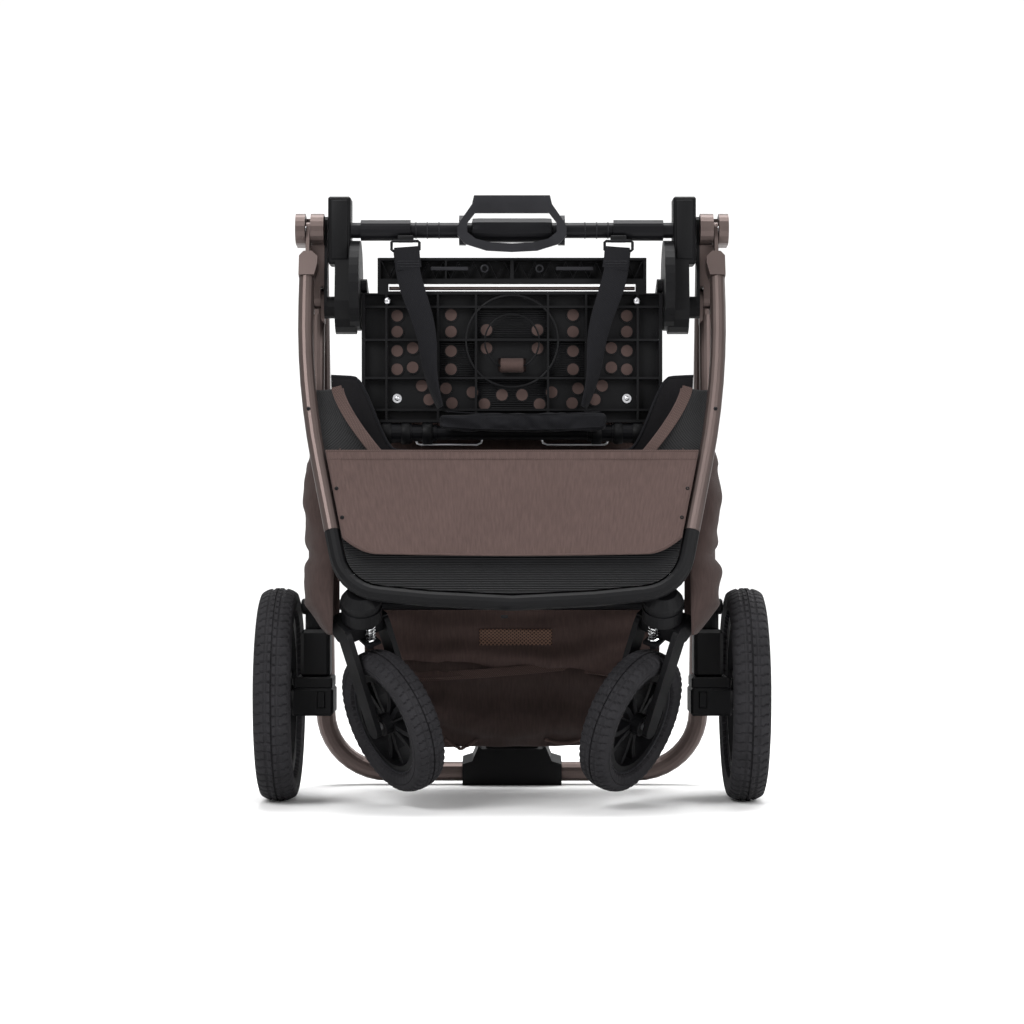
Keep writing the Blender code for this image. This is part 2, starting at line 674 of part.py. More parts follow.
# ---------------------------------------------------------------- seat unit
def seat_unit(seat):
    for side, sign in SIDES:
        upper = made(
            f"seat_side_{side}",
            side_block(sign, 0.1920, SEAT_SIDE_OUTER, (-0.022, 0.640), (0.018, 0.7206), 0.002), BLACK,
            seat,
        )
        lower = made(
            f"seat_taper_{side}",
            prism(capsule(SEAT_AXIS, (-0.002, 0.648), 0.032, 0.019, 10), *span(sign, 0.1860, 0.2108)),
            BLACK, seat,
        )
        disc = made(
            f"seat_disc_{side}",
            prism(circle(RECLINE_AXIS, DISC_R, steps=32), *span(sign, DISC_INNER, 0.1925)), BLACK, seat,
        )
        combine(upper, "UNION", lower, disc)
    reach = 0.1920 - GAP
    half = [
        (reach, 0), (reach, 0.0093), (0.1802, 0.0093), (0.1802, 0.0125), (0.121, 0.0125),
        (0.121, 0.0093), (0.048, 0.0093), (0.047, 0.0142), (0.040, 0.0146),
    ]
    made(
        "carry_tube", turned([(-x, r) for x, r in half] + [(x, r) for x, r in reversed(half)], 20),
        BLACK, seat, at(0, *CARRY_TUBE),
    )
    half = [(0.165, 0), (0.165, 0.0120), (0.120, 0.0120), (0.120, 0.0102), (0.090, 0.0102), (0.090, 0.0085)]
    made(
        "front_tube", turned([(-x, r) for x, r in half] + [(x, r) for x, r in reversed(half)], 18),
        BLACK, seat, at(0, *FRONT_TUBE),
    )

    board = made(
        "seat_board", block((-BOARD_HALF, BOARD_FRONT, BOARD_LOW), (BOARD_HALF, BOARD_BACK, BOARD_TOP)),
        BLACK, seat,
    )
    rib, skin = 0.0013, 0.003
    columns = [-BOARD_HALF + 0.003, -0.150, -0.0885, -0.043, 0.043, 0.0885, 0.150, BOARD_HALF - 0.003]
    rows = [BOARD_LOW + 0.002, 0.467, 0.505, 0.5505, 0.590, 0.606]
    pockets = [
        ((a + rib, BOARD_FRONT - 0.01, c + rib), (b - rib, BOARD_BACK - skin, d - rib))
        for a, b in zip(columns, columns[1:])
        for c, d in zip(rows, rows[1:])
    ]
    narrow = 0.1605
    pockets += [
        ((a, BOARD_FRONT - 0.01, 0.6235), (b, BOARD_BACK - skin, 0.6455))
        for a, b in zip((-0.157, -0.078, 0.002), (-0.080, -0.002, 0.157))
    ]
    pockets += [((-0.1480, BOARD_FRONT - 0.02, 0.6085), (0.1480, BOARD_BACK + 0.01, 0.6180))]
    pockets += [
        (
            (sign * 0.25 if sign < 0 else narrow, BOARD_FRONT - 0.02, 0.6062),
            (-narrow if sign < 0 else 0.25, BOARD_BACK + 0.01, BOARD_TOP + 0.01),
        )
        for sign in (-1, 1)
    ]
    cutter = made("board_pockets", blocks(pockets), BLACK, seat)
    slot = made("board_slot", block((-0.0165, -0.03, 0.5130), (0.0165, 0.03, 0.5290)), BLACK, seat)
    combine(board, "DIFFERENCE", cutter, slot)
    made(
        "seat_cushion", block((-0.172, BOARD_BACK + 0.001, 0.4535), (0.172, 0.0215, 0.603), 0.004),
        FABRIC, seat,
    )

    for side, sign in SIDES:
        strap = prism(
            [
                (sign * x, z)
                for x, z in ((0.1405, 0.664), (0.1115, 0.664), (0.0800, 0.472), (0.0905, 0.472))
            ],
            -0.0300, -0.0280, "Y",
        )
        made(f"strap_{side}", strap, WEBBING, seat)
    made("shoulder_pad", block((-0.0860, -0.0400, 0.4400), (0.1120, -0.0240, 0.4690), 0.004), WEBBING, seat)

    swing = body("carry_handle_axis", at(0, *CARRY_TUBE), seat)
    outer = [
        (0.0450, 0.0395), (0.0475, 0.0290), (0.0600, 0.0110), (0.0650, 0.0010), (0.0645, -0.0080),
        (0.0560, -0.0180), (0.0300, -0.0260),
    ]
    outer_loop = [(x, z) for x, z in outer] + [(0, -0.0275)] + [(-x, z) for x, z in reversed(outer)]
    hole = [(0.0440, 0.0185), (0.0530, 0.0070), (0.0530, -0.0040), (0.0430, -0.0120), (0.0240, -0.0165)]
    hole_loop = [(x, z) for x, z in hole] + [(0, -0.0175)] + [(-x, z) for x, z in reversed(hole)]
    place = at(0, *CARRY_TUBE)
    loop = made("carry_handle", prism(outer_loop, -0.0225, -0.0165, "Y"), BLACK, swing, place)
    opening = made("carry_handle_hole", prism(hole_loop, -0.05, 0.05, "Y"), BLACK, swing, place)
    collars = []
    for side, sign in SIDES:
        ring = [(0, 0.0100), (0, 0.0180), (0.0080, 0.0180), (0.0080, 0.0100)]
        collars.append(
            made(
                f"carry_collar_{side}", turned(ring, 20, True), BLACK, swing,
                place @ at(0.0550 if sign > 0 else -0.0630, 0, 0),
            ),
        )
    combine(combine(loop, "DIFFERENCE", opening), "UNION", *collars)


# ---------------------------------------------------------------- backrest and canopy
def backrest(back, place):
    half = BACK_HALF
    shell = made(
        "backrest_shell",
        block((-half, PAD_BACK + 0.001, -BACK_LENGTH), (half, PAD_BACK + 0.008, -0.012), 0.002), BLACK,
        back, place,
    )
    for side, sign in SIDES:
        arm = prism(
            capsule((0, 0), (PAD_BACK + 0.004, -0.020), 0.0080, 0.0060, 6),
            *span(sign, 0.1735, DISC_INNER - GAP),
        )
        combine(shell, "UNION", made(f"backrest_arm_{side}", arm, BLACK, back, place))
    made(
        "backrest_pad",
        block(
            (-half + 0.006, PAD_FRONT, -BACK_LENGTH + 0.004), (half - 0.006, PAD_BACK, -0.020), 0.004,
        ),
        FABRIC, back, place,
    )


def canopy(hood, place):
    half = 0.1835
    low = BACK_LENGTH + 0.112
    outline = [
        (PAD_BACK + 0.010, -0.376), (PAD_BACK + 0.030, -0.376), (PAD_BACK + 0.036, -0.400),
        (PAD_BACK + 0.034, -0.505), (0.050, -low), (0.030, -low), (PAD_FRONT, -low + 0.015),
        (PAD_FRONT, -BACK_LENGTH - 0.006), (PAD_BACK + 0.010, -BACK_LENGTH - 0.006),
    ]
    fabric = made("canopy_fabric", prism(outline, -0.176, 0.176), FABRIC, hood, place)
    for side, sign in SIDES:
        ear = side_block(sign, 0.1740, half, (PAD_BACK + 0.0110, -0.470), (PAD_BACK + 0.0210, -0.377))
        combine(fabric, "UNION", made(f"canopy_ear_{side}", ear, FABRIC, hood, place))


def centre_depth(root):
    """Moves the whole object so that its depth is centred on the origin."""
    bpy.context.view_layer.update()
    graph = bpy.context.evaluated_depsgraph_get()
    depths = []
    for obj in bpy.data.objects:
        if obj.type == "MESH" and not obj.hide_render:
            shape = obj.evaluated_get(graph).data
            depths += [(obj.matrix_world @ vertex.co).y for vertex in shape.vertices]
    root.location.y = -(min(depths) + max(depths)) / 2


def main():
    clear_scene()
    root = body("stroller", Matrix())
    for side, sign in SIDES:
        hub(side, sign, root)

    front_place = leaning(FRONT_PIVOT, -FRONT_LEAN)
    front = body("front_frame", front_place, root)
    front_frame(front, front_place)
    for side, sign in SIDES:
        swivel = body(f"caster_{side}_axis", stem_place(sign), front)
        caster(side, sign, swivel)
        wheel_place = caster_place(sign) @ at(0, WHEEL_TRAIL, -WHEEL_DROP)
        spin = body(f"front_wheel_{side}_axis", wheel_place, swivel)
        wheel(
            f"front_wheel_{side}", FRONT_WHEEL_R, FRONT_TYRE_W, 0.0235, 0.0054, 0.0130,
            (-0.0165, 0.0165), 5, spin, wheel_place,
        )

    rear = body("rear_frame", at(0, *REAR_PIVOT), root)
    rear_middle(rear)
    brake(rear)
    for side, sign in SIDES:
        rear_frame(rear, side, sign)
        wheel_place = at(sign * REAR_WHEEL_X, 0, REAR_WHEEL_R)
        spin = body(f"rear_wheel_{side}_axis", wheel_place, rear)
        wheel(
            f"rear_wheel_{side}", REAR_WHEEL_R, REAR_TYRE_W, 0.0290, 0.0064, 0.0190,
            span(sign, -0.0150, 0.0190), 5, spin, wheel_place,
        )

    bar = body("handlebar", at(0, *HANDLE_PIVOT), root)
    handlebar(bar)
    seat = body("seat", at(0, *SEAT_AXIS), root)
    seat_unit(seat)
    back_place = leaning(RECLINE_AXIS, BACK_LEAN)
    back = body("backrest", back_place, seat)
    backrest(back, back_place)
    hood = body("canopy", back_place @ at(0, PAD_BACK + CANOPY_BEHIND, -CANOPY_PIVOT_DROP), back)
    canopy(hood, back_place)
    centre_depth(root)


main()
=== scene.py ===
"""The looks of a folded pet stroller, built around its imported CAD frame.

Metres, +Z up, -Y towards the front, left is -X. Lengths along Y are measured from the seat's own
pivot, and SHIFT carries them into the frame. Each soft piece stands for the plain CAD solid it replaces.
"""

import json
import math

import bmesh
import bpy
import numpy as np
from mathutils import Matrix, Vector, noise
from mathutils.bvhtree import BVHTree
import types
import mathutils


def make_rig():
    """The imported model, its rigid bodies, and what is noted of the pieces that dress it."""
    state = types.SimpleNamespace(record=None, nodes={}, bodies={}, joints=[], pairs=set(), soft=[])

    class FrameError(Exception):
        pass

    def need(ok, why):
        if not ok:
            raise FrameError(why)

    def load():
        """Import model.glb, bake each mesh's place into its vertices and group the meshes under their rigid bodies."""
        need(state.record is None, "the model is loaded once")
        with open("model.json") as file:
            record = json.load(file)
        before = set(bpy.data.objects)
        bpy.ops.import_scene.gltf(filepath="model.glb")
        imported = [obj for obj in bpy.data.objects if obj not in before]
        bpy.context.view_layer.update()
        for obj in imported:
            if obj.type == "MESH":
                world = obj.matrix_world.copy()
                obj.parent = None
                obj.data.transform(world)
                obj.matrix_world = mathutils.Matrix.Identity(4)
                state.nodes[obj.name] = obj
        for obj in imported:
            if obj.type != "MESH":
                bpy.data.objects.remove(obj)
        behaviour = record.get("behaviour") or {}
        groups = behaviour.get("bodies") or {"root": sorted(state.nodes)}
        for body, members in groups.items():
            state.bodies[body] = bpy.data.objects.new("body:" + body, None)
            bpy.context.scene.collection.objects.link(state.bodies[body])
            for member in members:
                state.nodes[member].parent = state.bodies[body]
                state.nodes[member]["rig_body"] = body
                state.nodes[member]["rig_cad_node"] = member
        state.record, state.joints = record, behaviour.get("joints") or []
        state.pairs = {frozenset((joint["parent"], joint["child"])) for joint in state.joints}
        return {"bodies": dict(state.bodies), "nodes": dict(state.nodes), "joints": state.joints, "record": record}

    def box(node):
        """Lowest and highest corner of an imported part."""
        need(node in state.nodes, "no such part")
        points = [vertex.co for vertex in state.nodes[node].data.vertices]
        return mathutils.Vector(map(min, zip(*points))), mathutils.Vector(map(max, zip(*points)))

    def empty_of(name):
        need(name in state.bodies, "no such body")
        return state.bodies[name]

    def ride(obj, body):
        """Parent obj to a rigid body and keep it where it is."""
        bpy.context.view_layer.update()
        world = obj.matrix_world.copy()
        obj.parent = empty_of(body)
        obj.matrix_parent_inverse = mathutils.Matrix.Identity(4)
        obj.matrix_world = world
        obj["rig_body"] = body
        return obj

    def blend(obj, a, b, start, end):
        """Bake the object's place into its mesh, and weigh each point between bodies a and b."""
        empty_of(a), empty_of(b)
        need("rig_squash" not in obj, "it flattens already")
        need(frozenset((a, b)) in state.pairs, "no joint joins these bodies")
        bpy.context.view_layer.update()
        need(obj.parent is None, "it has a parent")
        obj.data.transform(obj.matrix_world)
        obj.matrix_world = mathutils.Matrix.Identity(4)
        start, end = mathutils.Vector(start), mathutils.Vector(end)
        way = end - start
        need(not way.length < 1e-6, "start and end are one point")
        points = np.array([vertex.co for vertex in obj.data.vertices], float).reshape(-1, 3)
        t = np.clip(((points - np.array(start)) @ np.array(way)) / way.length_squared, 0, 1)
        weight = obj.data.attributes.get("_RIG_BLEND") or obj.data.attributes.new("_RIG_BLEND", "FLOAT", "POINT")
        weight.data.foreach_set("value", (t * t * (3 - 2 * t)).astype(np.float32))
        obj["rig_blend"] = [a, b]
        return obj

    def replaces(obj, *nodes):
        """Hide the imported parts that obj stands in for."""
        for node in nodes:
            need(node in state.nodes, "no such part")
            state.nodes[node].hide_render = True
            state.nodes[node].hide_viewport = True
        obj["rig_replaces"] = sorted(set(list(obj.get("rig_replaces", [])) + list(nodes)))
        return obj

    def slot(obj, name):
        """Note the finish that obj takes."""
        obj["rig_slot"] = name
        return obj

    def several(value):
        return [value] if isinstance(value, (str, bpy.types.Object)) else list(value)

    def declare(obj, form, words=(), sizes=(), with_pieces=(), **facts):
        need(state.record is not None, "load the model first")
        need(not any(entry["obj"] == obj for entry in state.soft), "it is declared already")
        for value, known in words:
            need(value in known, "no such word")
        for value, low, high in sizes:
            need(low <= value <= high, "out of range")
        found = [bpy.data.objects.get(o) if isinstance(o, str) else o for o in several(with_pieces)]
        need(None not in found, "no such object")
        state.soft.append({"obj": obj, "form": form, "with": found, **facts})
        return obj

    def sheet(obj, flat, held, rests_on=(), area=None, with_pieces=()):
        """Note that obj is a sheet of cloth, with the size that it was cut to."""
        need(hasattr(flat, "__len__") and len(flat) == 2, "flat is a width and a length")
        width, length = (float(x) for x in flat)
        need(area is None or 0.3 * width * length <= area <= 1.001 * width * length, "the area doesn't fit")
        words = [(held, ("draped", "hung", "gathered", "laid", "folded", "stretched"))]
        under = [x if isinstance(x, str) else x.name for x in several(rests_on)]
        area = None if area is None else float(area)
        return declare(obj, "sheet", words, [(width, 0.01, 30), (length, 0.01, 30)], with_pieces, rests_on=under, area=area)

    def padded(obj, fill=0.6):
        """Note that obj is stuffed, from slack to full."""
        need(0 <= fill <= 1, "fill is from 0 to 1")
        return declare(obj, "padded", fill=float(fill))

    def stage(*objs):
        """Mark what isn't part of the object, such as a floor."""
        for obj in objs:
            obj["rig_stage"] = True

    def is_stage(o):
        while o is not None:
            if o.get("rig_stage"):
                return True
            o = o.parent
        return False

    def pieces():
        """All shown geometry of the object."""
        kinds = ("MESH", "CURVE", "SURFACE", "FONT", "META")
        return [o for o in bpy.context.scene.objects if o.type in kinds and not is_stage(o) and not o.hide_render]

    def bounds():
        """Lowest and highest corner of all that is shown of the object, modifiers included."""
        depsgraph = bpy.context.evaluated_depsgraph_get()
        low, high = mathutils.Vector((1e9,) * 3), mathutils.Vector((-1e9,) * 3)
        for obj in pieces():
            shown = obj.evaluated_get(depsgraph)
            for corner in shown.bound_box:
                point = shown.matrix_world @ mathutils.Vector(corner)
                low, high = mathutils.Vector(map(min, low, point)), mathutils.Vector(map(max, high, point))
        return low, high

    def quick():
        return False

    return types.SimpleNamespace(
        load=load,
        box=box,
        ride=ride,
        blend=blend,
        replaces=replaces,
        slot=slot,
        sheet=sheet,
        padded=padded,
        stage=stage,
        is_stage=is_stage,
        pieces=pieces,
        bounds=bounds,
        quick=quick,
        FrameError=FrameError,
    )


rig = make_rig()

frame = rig.load()
NODES = frame["nodes"]
JOINTS = {j["name"]: j for j in frame["joints"]}
BOX_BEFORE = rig.bounds()
SIDES = (("left", -1), ("right", 1))
CAMERA_AWAY, CAMERA_HEIGHT, LENS = 3.2, 0.345, 93.9


SHIFT = JOINTS["seat_unfold"]["pos_m"][1]
HUB_Z = JOINTS["front_legs_fold"]["pos_m"][2]
FRONT_LEAN = math.radians(20.5)


# ---------------------------------------------------------------- materials
class Finish:
    """A Principled material, with short calls for the nodes that give it detail."""

    def __init__(self, name, colour, roughness, metallic=0.0, sheen=0.0, coordinates="Object"):
        self.material = bpy.data.materials.new(name)
        self.material.use_nodes = True
        self.tree = self.material.node_tree
        self.shader = self.tree.nodes["Principled BSDF"]
        self.colour = colour
        self.shader.inputs["Base Color"].default_value = (*colour, 1)
        self.shader.inputs["Roughness"].default_value = roughness
        self.shader.inputs["Metallic"].default_value = metallic
        self.shader.inputs["Sheen Weight"].default_value = sheen
        self.shader.inputs["Sheen Roughness"].default_value = 0.5
        self.shader.inputs["Specular IOR Level"].default_value = 0.5 if metallic > 0.5 else 0.12
        self.place = self.tree.nodes.new("ShaderNodeTexCoord").outputs[coordinates]
        self.height = None

    def link(self, a, b):
        self.tree.links.new(a, b)
        return self

    def scaled(self, scale, turn=0.0):
        mapping = self.tree.nodes.new("ShaderNodeMapping")
        mapping.inputs["Scale"].default_value = scale
        mapping.inputs["Rotation"].default_value = (0, 0, turn)
        self.link(self.place, mapping.inputs["Vector"])
        return mapping.outputs["Vector"]

    def noise(self, scale, detail=3.0, stretch=(1, 1, 1)):
        node = self.tree.nodes.new("ShaderNodeTexNoise")
        node.inputs["Scale"].default_value = scale
        node.inputs["Detail"].default_value = detail
        self.link(self.scaled(stretch), node.inputs["Vector"])
        return node.outputs["Fac"]

    def wave(self, spacing, direction="X", distortion=0.0, turn=0.0):
        """Bands this far apart, in metres."""
        node = self.tree.nodes.new("ShaderNodeTexWave")
        node.bands_direction = direction
        node.inputs["Scale"].default_value = math.pi / (10 * spacing)
        node.inputs["Distortion"].default_value = distortion
        node.inputs["Detail Scale"].default_value = 2.0
        self.link(self.scaled((1, 1, 1), turn), node.inputs["Vector"])
        return node.outputs["Fac"]

    def maths(self, operation, a, b):
        node = self.tree.nodes.new("ShaderNodeMath")
        node.operation = operation
        for socket, value in zip(node.inputs, (a, b)):
            if isinstance(value, (int, float)):
                socket.default_value = value
            else:
                self.link(value, socket)
        return node.outputs[0]

    def shades(self, factor, dark, light, low=0.3, high=0.7):
        """Colour between dark and light times the base colour, by the factor."""
        ramp = self.tree.nodes.new("ShaderNodeValToRGB")
        for element, share, place in zip(ramp.color_ramp.elements, (dark, light), (low, high)):
            element.position = place
            element.color = (*(min(1.0, c * share) for c in self.colour), 1)
        self.link(factor, ramp.inputs["Fac"])
        self.link(ramp.outputs["Color"], self.shader.inputs["Base Color"])
        return self

    def rough(self, factor, low, high):
        node = self.tree.nodes.new("ShaderNodeMapRange")
        node.inputs["To Min"].default_value = low
        node.inputs["To Max"].default_value = high
        self.link(factor, node.inputs["Value"])
        return self.link(node.outputs["Result"], self.shader.inputs["Roughness"])

    def bump(self, height, distance, strength=1.0):
        """Bumps add up: each call takes the one before as its base."""
        node = self.tree.nodes.new("ShaderNodeBump")
        node.inputs["Distance"].default_value = distance
        node.inputs["Strength"].default_value = strength
        self.link(height, node.inputs["Height"])
        if self.height:
            self.link(self.height, node.inputs["Normal"])
        self.height = node.outputs["Normal"]
        return self.link(self.height, self.shader.inputs["Normal"])


def metal(name, colour, roughness, metallic=1.0, grain=900.0):
    made = Finish(name, colour, roughness, metallic)
    fine, broad = made.noise(grain, 2.0), made.noise(18.0, 4.0)
    made.rough(
        made.maths("ADD", made.maths("MULTIPLY", fine, 0.45), made.maths("MULTIPLY", broad, 0.55)),
        roughness - 0.08, roughness + 0.12,
    )
    made.shades(broad, 0.93, 1.06)
    return made.bump(fine, 0.00004, 0.5)


def plastic(name, colour, roughness, grain=1400.0):
    made = Finish(name, colour, roughness)
    fine, broad = made.noise(grain, 2.0), made.noise(30.0, 5.0)
    made.rough(broad, roughness - 0.07, roughness + 0.10)
    made.shades(broad, 0.85, 1.25)
    return made.bump(fine, 0.00008, 0.55)


def rubber(name, colour, roughness):
    made = Finish(name, colour, roughness)
    fine, dust = made.noise(1800.0, 3.0), made.noise(45.0, 6.0)
    made.rough(dust, roughness - 0.08, roughness + 0.08)
    made.shades(
        made.maths("ADD", made.maths("MULTIPLY", fine, 0.4), made.maths("MULTIPLY", dust, 0.6)), 0.75,
        1.5,
    )
    return made.bump(fine, 0.00015, 0.6)


def cloth(name, colour, yarn, heather=(0.80, 1.22), rib=None, sheen=0.04):
    """Woven cloth in the piece's own UV, which is in metres: yarns this far apart, and ribs if rib is set."""
    made = Finish(name, colour, 0.92, sheen=sheen, coordinates="UV")
    warp, weft = made.wave(yarn, "X", 0.6), made.wave(yarn, "Y", 0.6)
    weave = made.maths("MULTIPLY", warp, weft)
    slubs = made.noise(420.0, 3.0, (1, 0.16, 1))
    broad = made.noise(9.0, 4.0)
    tone = made.maths("ADD", made.maths("MULTIPLY", slubs, 0.55), made.maths("MULTIPLY", broad, 0.25))
    tone = made.maths("ADD", tone, made.maths("MULTIPLY", weave, 0.2))
    made.shades(tone, *heather, 0.32, 0.66)
    made.rough(slubs, 0.85, 0.98)
    made.bump(weave, 0.00018, 0.7)
    made.bump(slubs, 0.00025, 0.5)
    if rib:
        made.bump(made.wave(rib, "X", 0.3), 0.0004, 0.45)
    return made


def webbing_cloth(name, colour):
    """Ribbed tape: cords along it, with a fine diagonal in them."""
    made = Finish(name, colour, 0.8, sheen=0.03, coordinates="UV")
    along, across = made.wave(0.0016, "X"), made.wave(0.0011, "Y", 0.4)
    diagonal = made.wave(0.0013, "DIAGONAL")
    weave = made.maths("ADD", made.maths("MULTIPLY", along, 0.6), made.maths("MULTIPLY", across, 0.4))
    made.shades(made.maths("MULTIPLY", weave, diagonal), 0.7, 1.6, 0.1, 0.7)
    made.bump(weave, 0.0003, 0.8)
    return made.bump(diagonal, 0.0001, 0.5)


def netting(name, colour, gap_colour, cell):
    """Diamond mesh: light cords over a dark ground."""
    made = Finish(name, colour, 0.9, sheen=0.03, coordinates="UV")
    one, two = made.wave(cell, "X", turn=math.radians(45)), made.wave(cell, "Y", turn=math.radians(45))
    cords = made.maths("MAXIMUM", one, two)
    ramp = made.tree.nodes.new("ShaderNodeValToRGB")
    ramp.color_ramp.elements[0].position, ramp.color_ramp.elements[1].position = 0.55, 0.8
    ramp.color_ramp.elements[0].color = (*gap_colour, 1)
    ramp.color_ramp.elements[1].color = (*colour, 1)
    made.link(cords, ramp.inputs["Fac"])
    made.link(ramp.outputs["Color"], made.shader.inputs["Base Color"])
    return made.bump(cords, 0.0004, 0.8)


BRONZE_TONE, BLACK_TONE, BROWN_TONE = (0.088, 0.066, 0.061), (0.0026, 0.0026, 0.0031), (0.066, 0.044, 0.040)
# Painted shade: a darker copy of the brown fabric's colour, for the basket's inside, its side folds and the canopy
# bundle, which lie in shadow
SHADED_BROWN_TONE = (0.037, 0.025, 0.023)
FINISHES = {
    "bronze": metal("bronze_paint", BRONZE_TONE, 0.42, 0.80),
    "black_plastic": plastic("black_plastic", BLACK_TONE, 0.50),
    "black_metal": metal("black_metal", (0.006, 0.006, 0.007), 0.34, 0.3),
    "tyre": rubber("tyre_rubber", (0.0135, 0.0130, 0.0145), 0.80),
    "chrome": metal("chrome", (0.78, 0.79, 0.80), 0.16),
    "steel": metal("steel", (0.58, 0.58, 0.60), 0.30),
    "brown_fabric": cloth("brown_fabric", BROWN_TONE, 0.0011, rib=0.0042),
    "webbing": webbing_cloth("black_webbing", (0.0060, 0.0060, 0.0075)),
    "plain_brown": cloth("plain_brown_fabric", BROWN_TONE, 0.0010),
    # Painted shade: the brown fabric again, darkened for the parts that lie in shadow
    "lining": cloth("painted_shade_brown_cloth", SHADED_BROWN_TONE, 0.0010),
    "brown_binding": webbing_cloth("brown_binding", (0.058, 0.038, 0.034)),
    "black_fabric": cloth("black_fabric", (0.0075, 0.0070, 0.0080), 0.0011),
    "black_mesh": netting("black_mesh", (0.022, 0.022, 0.023), (0.006, 0.006, 0.006), 0.0022),
    "brown_mesh": netting("brown_mesh", (0.16, 0.095, 0.07), (0.022, 0.016, 0.014), 0.0034),
    "grooved_plastic": plastic("grooved_black_plastic", BLACK_TONE, 0.46),
    "grey_plastic": plastic("grey_plastic", (0.013, 0.013, 0.015), 0.42),
}
GROOVE_SPACING = 0.0026
GROOVED = FINISHES["grooved_plastic"]
GROOVED.bump(GROOVED.wave(GROOVE_SPACING, "Z"), 0.0007, 0.9)
SLOT_OF = {
    "plain_brown": "brown_fabric",
    "lining": "brown_fabric",
    "brown_binding": "brown_fabric",
    "brown_mesh": "brown_fabric",
    "black_fabric": "webbing",
    "black_mesh": "webbing",
    "grooved_plastic": "black_plastic",
    "grey_plastic": "black_plastic",
}


def painted(obj, finish):
    obj.data.materials.clear()
    obj.data.materials.append(FINISHES[finish].material)
    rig.slot(obj, SLOT_OF.get(finish, finish))
    return obj


# ---------------------------------------------------------------- mesh helpers
def new_piece(name, mesh, finish, body=None, smooth=40.0):
    """A piece from a bmesh, riding on a body unless body is None."""
    data = bpy.data.meshes.new(name)
    mesh.to_mesh(data)
    mesh.free()
    data.shade_smooth()
    data.set_sharp_from_angle(angle=math.radians(smooth))
    obj = bpy.data.objects.new(name, data)
    bpy.context.scene.collection.objects.link(obj)
    painted(obj, finish)
    if body:
        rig.ride(obj, body)
    return obj


def at(x, y, z):
    """A point whose y is measured from the seat's pivot."""
    return Vector((x, y + SHIFT, z))


def lattice(rows, uvs=None, wrap=False, wrap_rows=False):
    """A bmesh through rows of points. UVs are in metres along each direction."""
    mesh = bmesh.new()
    layer = mesh.loops.layers.uv.new("UVMap")
    grid = [[mesh.verts.new(p) for p in row] for row in rows]
    count, wide = len(rows), len(rows[0])
    if uvs is None:
        across, down = [0.0], [0.0]
        centre_row, centre_column = rows[count // 2], [row[wide // 2] for row in rows]
        for a, b in zip(centre_row, centre_row[1:] + centre_row[:1]):
            across.append(across[-1] + (Vector(b) - Vector(a)).length)
        for a, b in zip(centre_column, centre_column[1:] + centre_column[:1]):
            down.append(down[-1] + (Vector(b) - Vector(a)).length)
        uvs = (across, down)
    for i in range(count if wrap_rows else count - 1):
        for j in range(wide if wrap else wide - 1):
            k, m = (i + 1) % count, (j + 1) % wide
            face = mesh.faces.new((grid[i][j], grid[i][m], grid[k][m], grid[k][j]))
            corners = ((i, j), (i, j + 1), (i + 1, j + 1), (i + 1, j))
            for loop, (row, column) in zip(face.loops, corners):
                loop[layer].uv = (uvs[0][column], uvs[1][row])
    return mesh, grid


def surface(name, point, across, down, finish, body=None, thick=0.0, smooth=60.0):
    """A sheet through point(u, v), u and v from 0 to 1, with this thickness added behind it."""
    rows = [[point(i / across, j / down) for i in range(across + 1)] for j in range(down + 1)]
    mesh, _ = lattice(rows)
    obj = new_piece(name, mesh, finish, None, smooth)
    if thick:
        solid = obj.modifiers.new("thickness", "SOLIDIFY")
        solid.thickness, solid.offset = thick, 0.0
        settle(obj)
    if body:
        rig.ride(obj, body)
    return obj


def settle(obj):
    """Applies the modifiers, so that the mesh is final."""
    graph = bpy.context.evaluated_depsgraph_get()
    final = bpy.data.meshes.new_from_object(obj.evaluated_get(graph), depsgraph=graph)
    obj.modifiers.clear()
    obj.data = final
    return obj


def tube(name, path, radius, finish, body, sides=10, closed=False):
    """A round rod along the path; radius is one number or one for each point."""
    path = [Vector(p) for p in path]
    radii = radius if isinstance(radius, (list, tuple)) else [radius] * len(path)
    count = len(path)
    rows, normal = [], None
    for i, point in enumerate(path):
        before = path[i - 1] if i or closed else path[0]
        after = path[(i + 1) % count] if i < count - 1 or closed else path[-1]
        tangent = (after - before).normalized()
        if normal is None:
            normal = tangent.orthogonal().normalized()
        normal = (normal - tangent * normal.dot(tangent)).normalized()
        side = tangent.cross(normal)
        turns = [2 * math.pi * k / sides for k in range(sides)]
        rows.append([point + radii[i] * (math.cos(t) * normal + math.sin(t) * side) for t in turns])
    mesh, grid = lattice(rows, wrap=True, wrap_rows=closed)
    if not closed:
        mesh.faces.new(list(reversed(grid[0])))
        mesh.faces.new(grid[-1])
    bmesh.ops.recalc_face_normals(mesh, faces=mesh.faces)
    return new_piece(name, mesh, finish, body)


def tape(name, path, facings, widths, thick, finish, body=None):
    """Flat webbing along the path; at each point its face looks along facing."""
    rows = []
    path = [Vector(p) for p in path]
    for i, point in enumerate(path):
        tangent = (path[min(i + 1, len(path) - 1)] - path[max(i - 1, 0)]).normalized()
        side = tangent.cross(Vector(facings[i])).normalized()
        face = side.cross(tangent)
        half, edge = widths[i] / 2, thick / 2
        corners = (
            (-1, -0.35), (-0.94, -1), (0.94, -1), (1, -0.35), (1, 0.35), (0.94, 1), (-0.94, 1),
            (-1, 0.35),
        )
        rows.append([point + side * half * a + face * edge * b for a, b in corners])
    mesh, grid = lattice(rows, wrap=True)
    mesh.faces.new(list(reversed(grid[0])))
    mesh.faces.new(grid[-1])
    bmesh.ops.recalc_face_normals(mesh, faces=mesh.faces)
    return new_piece(name, mesh, finish, body, 50.0)


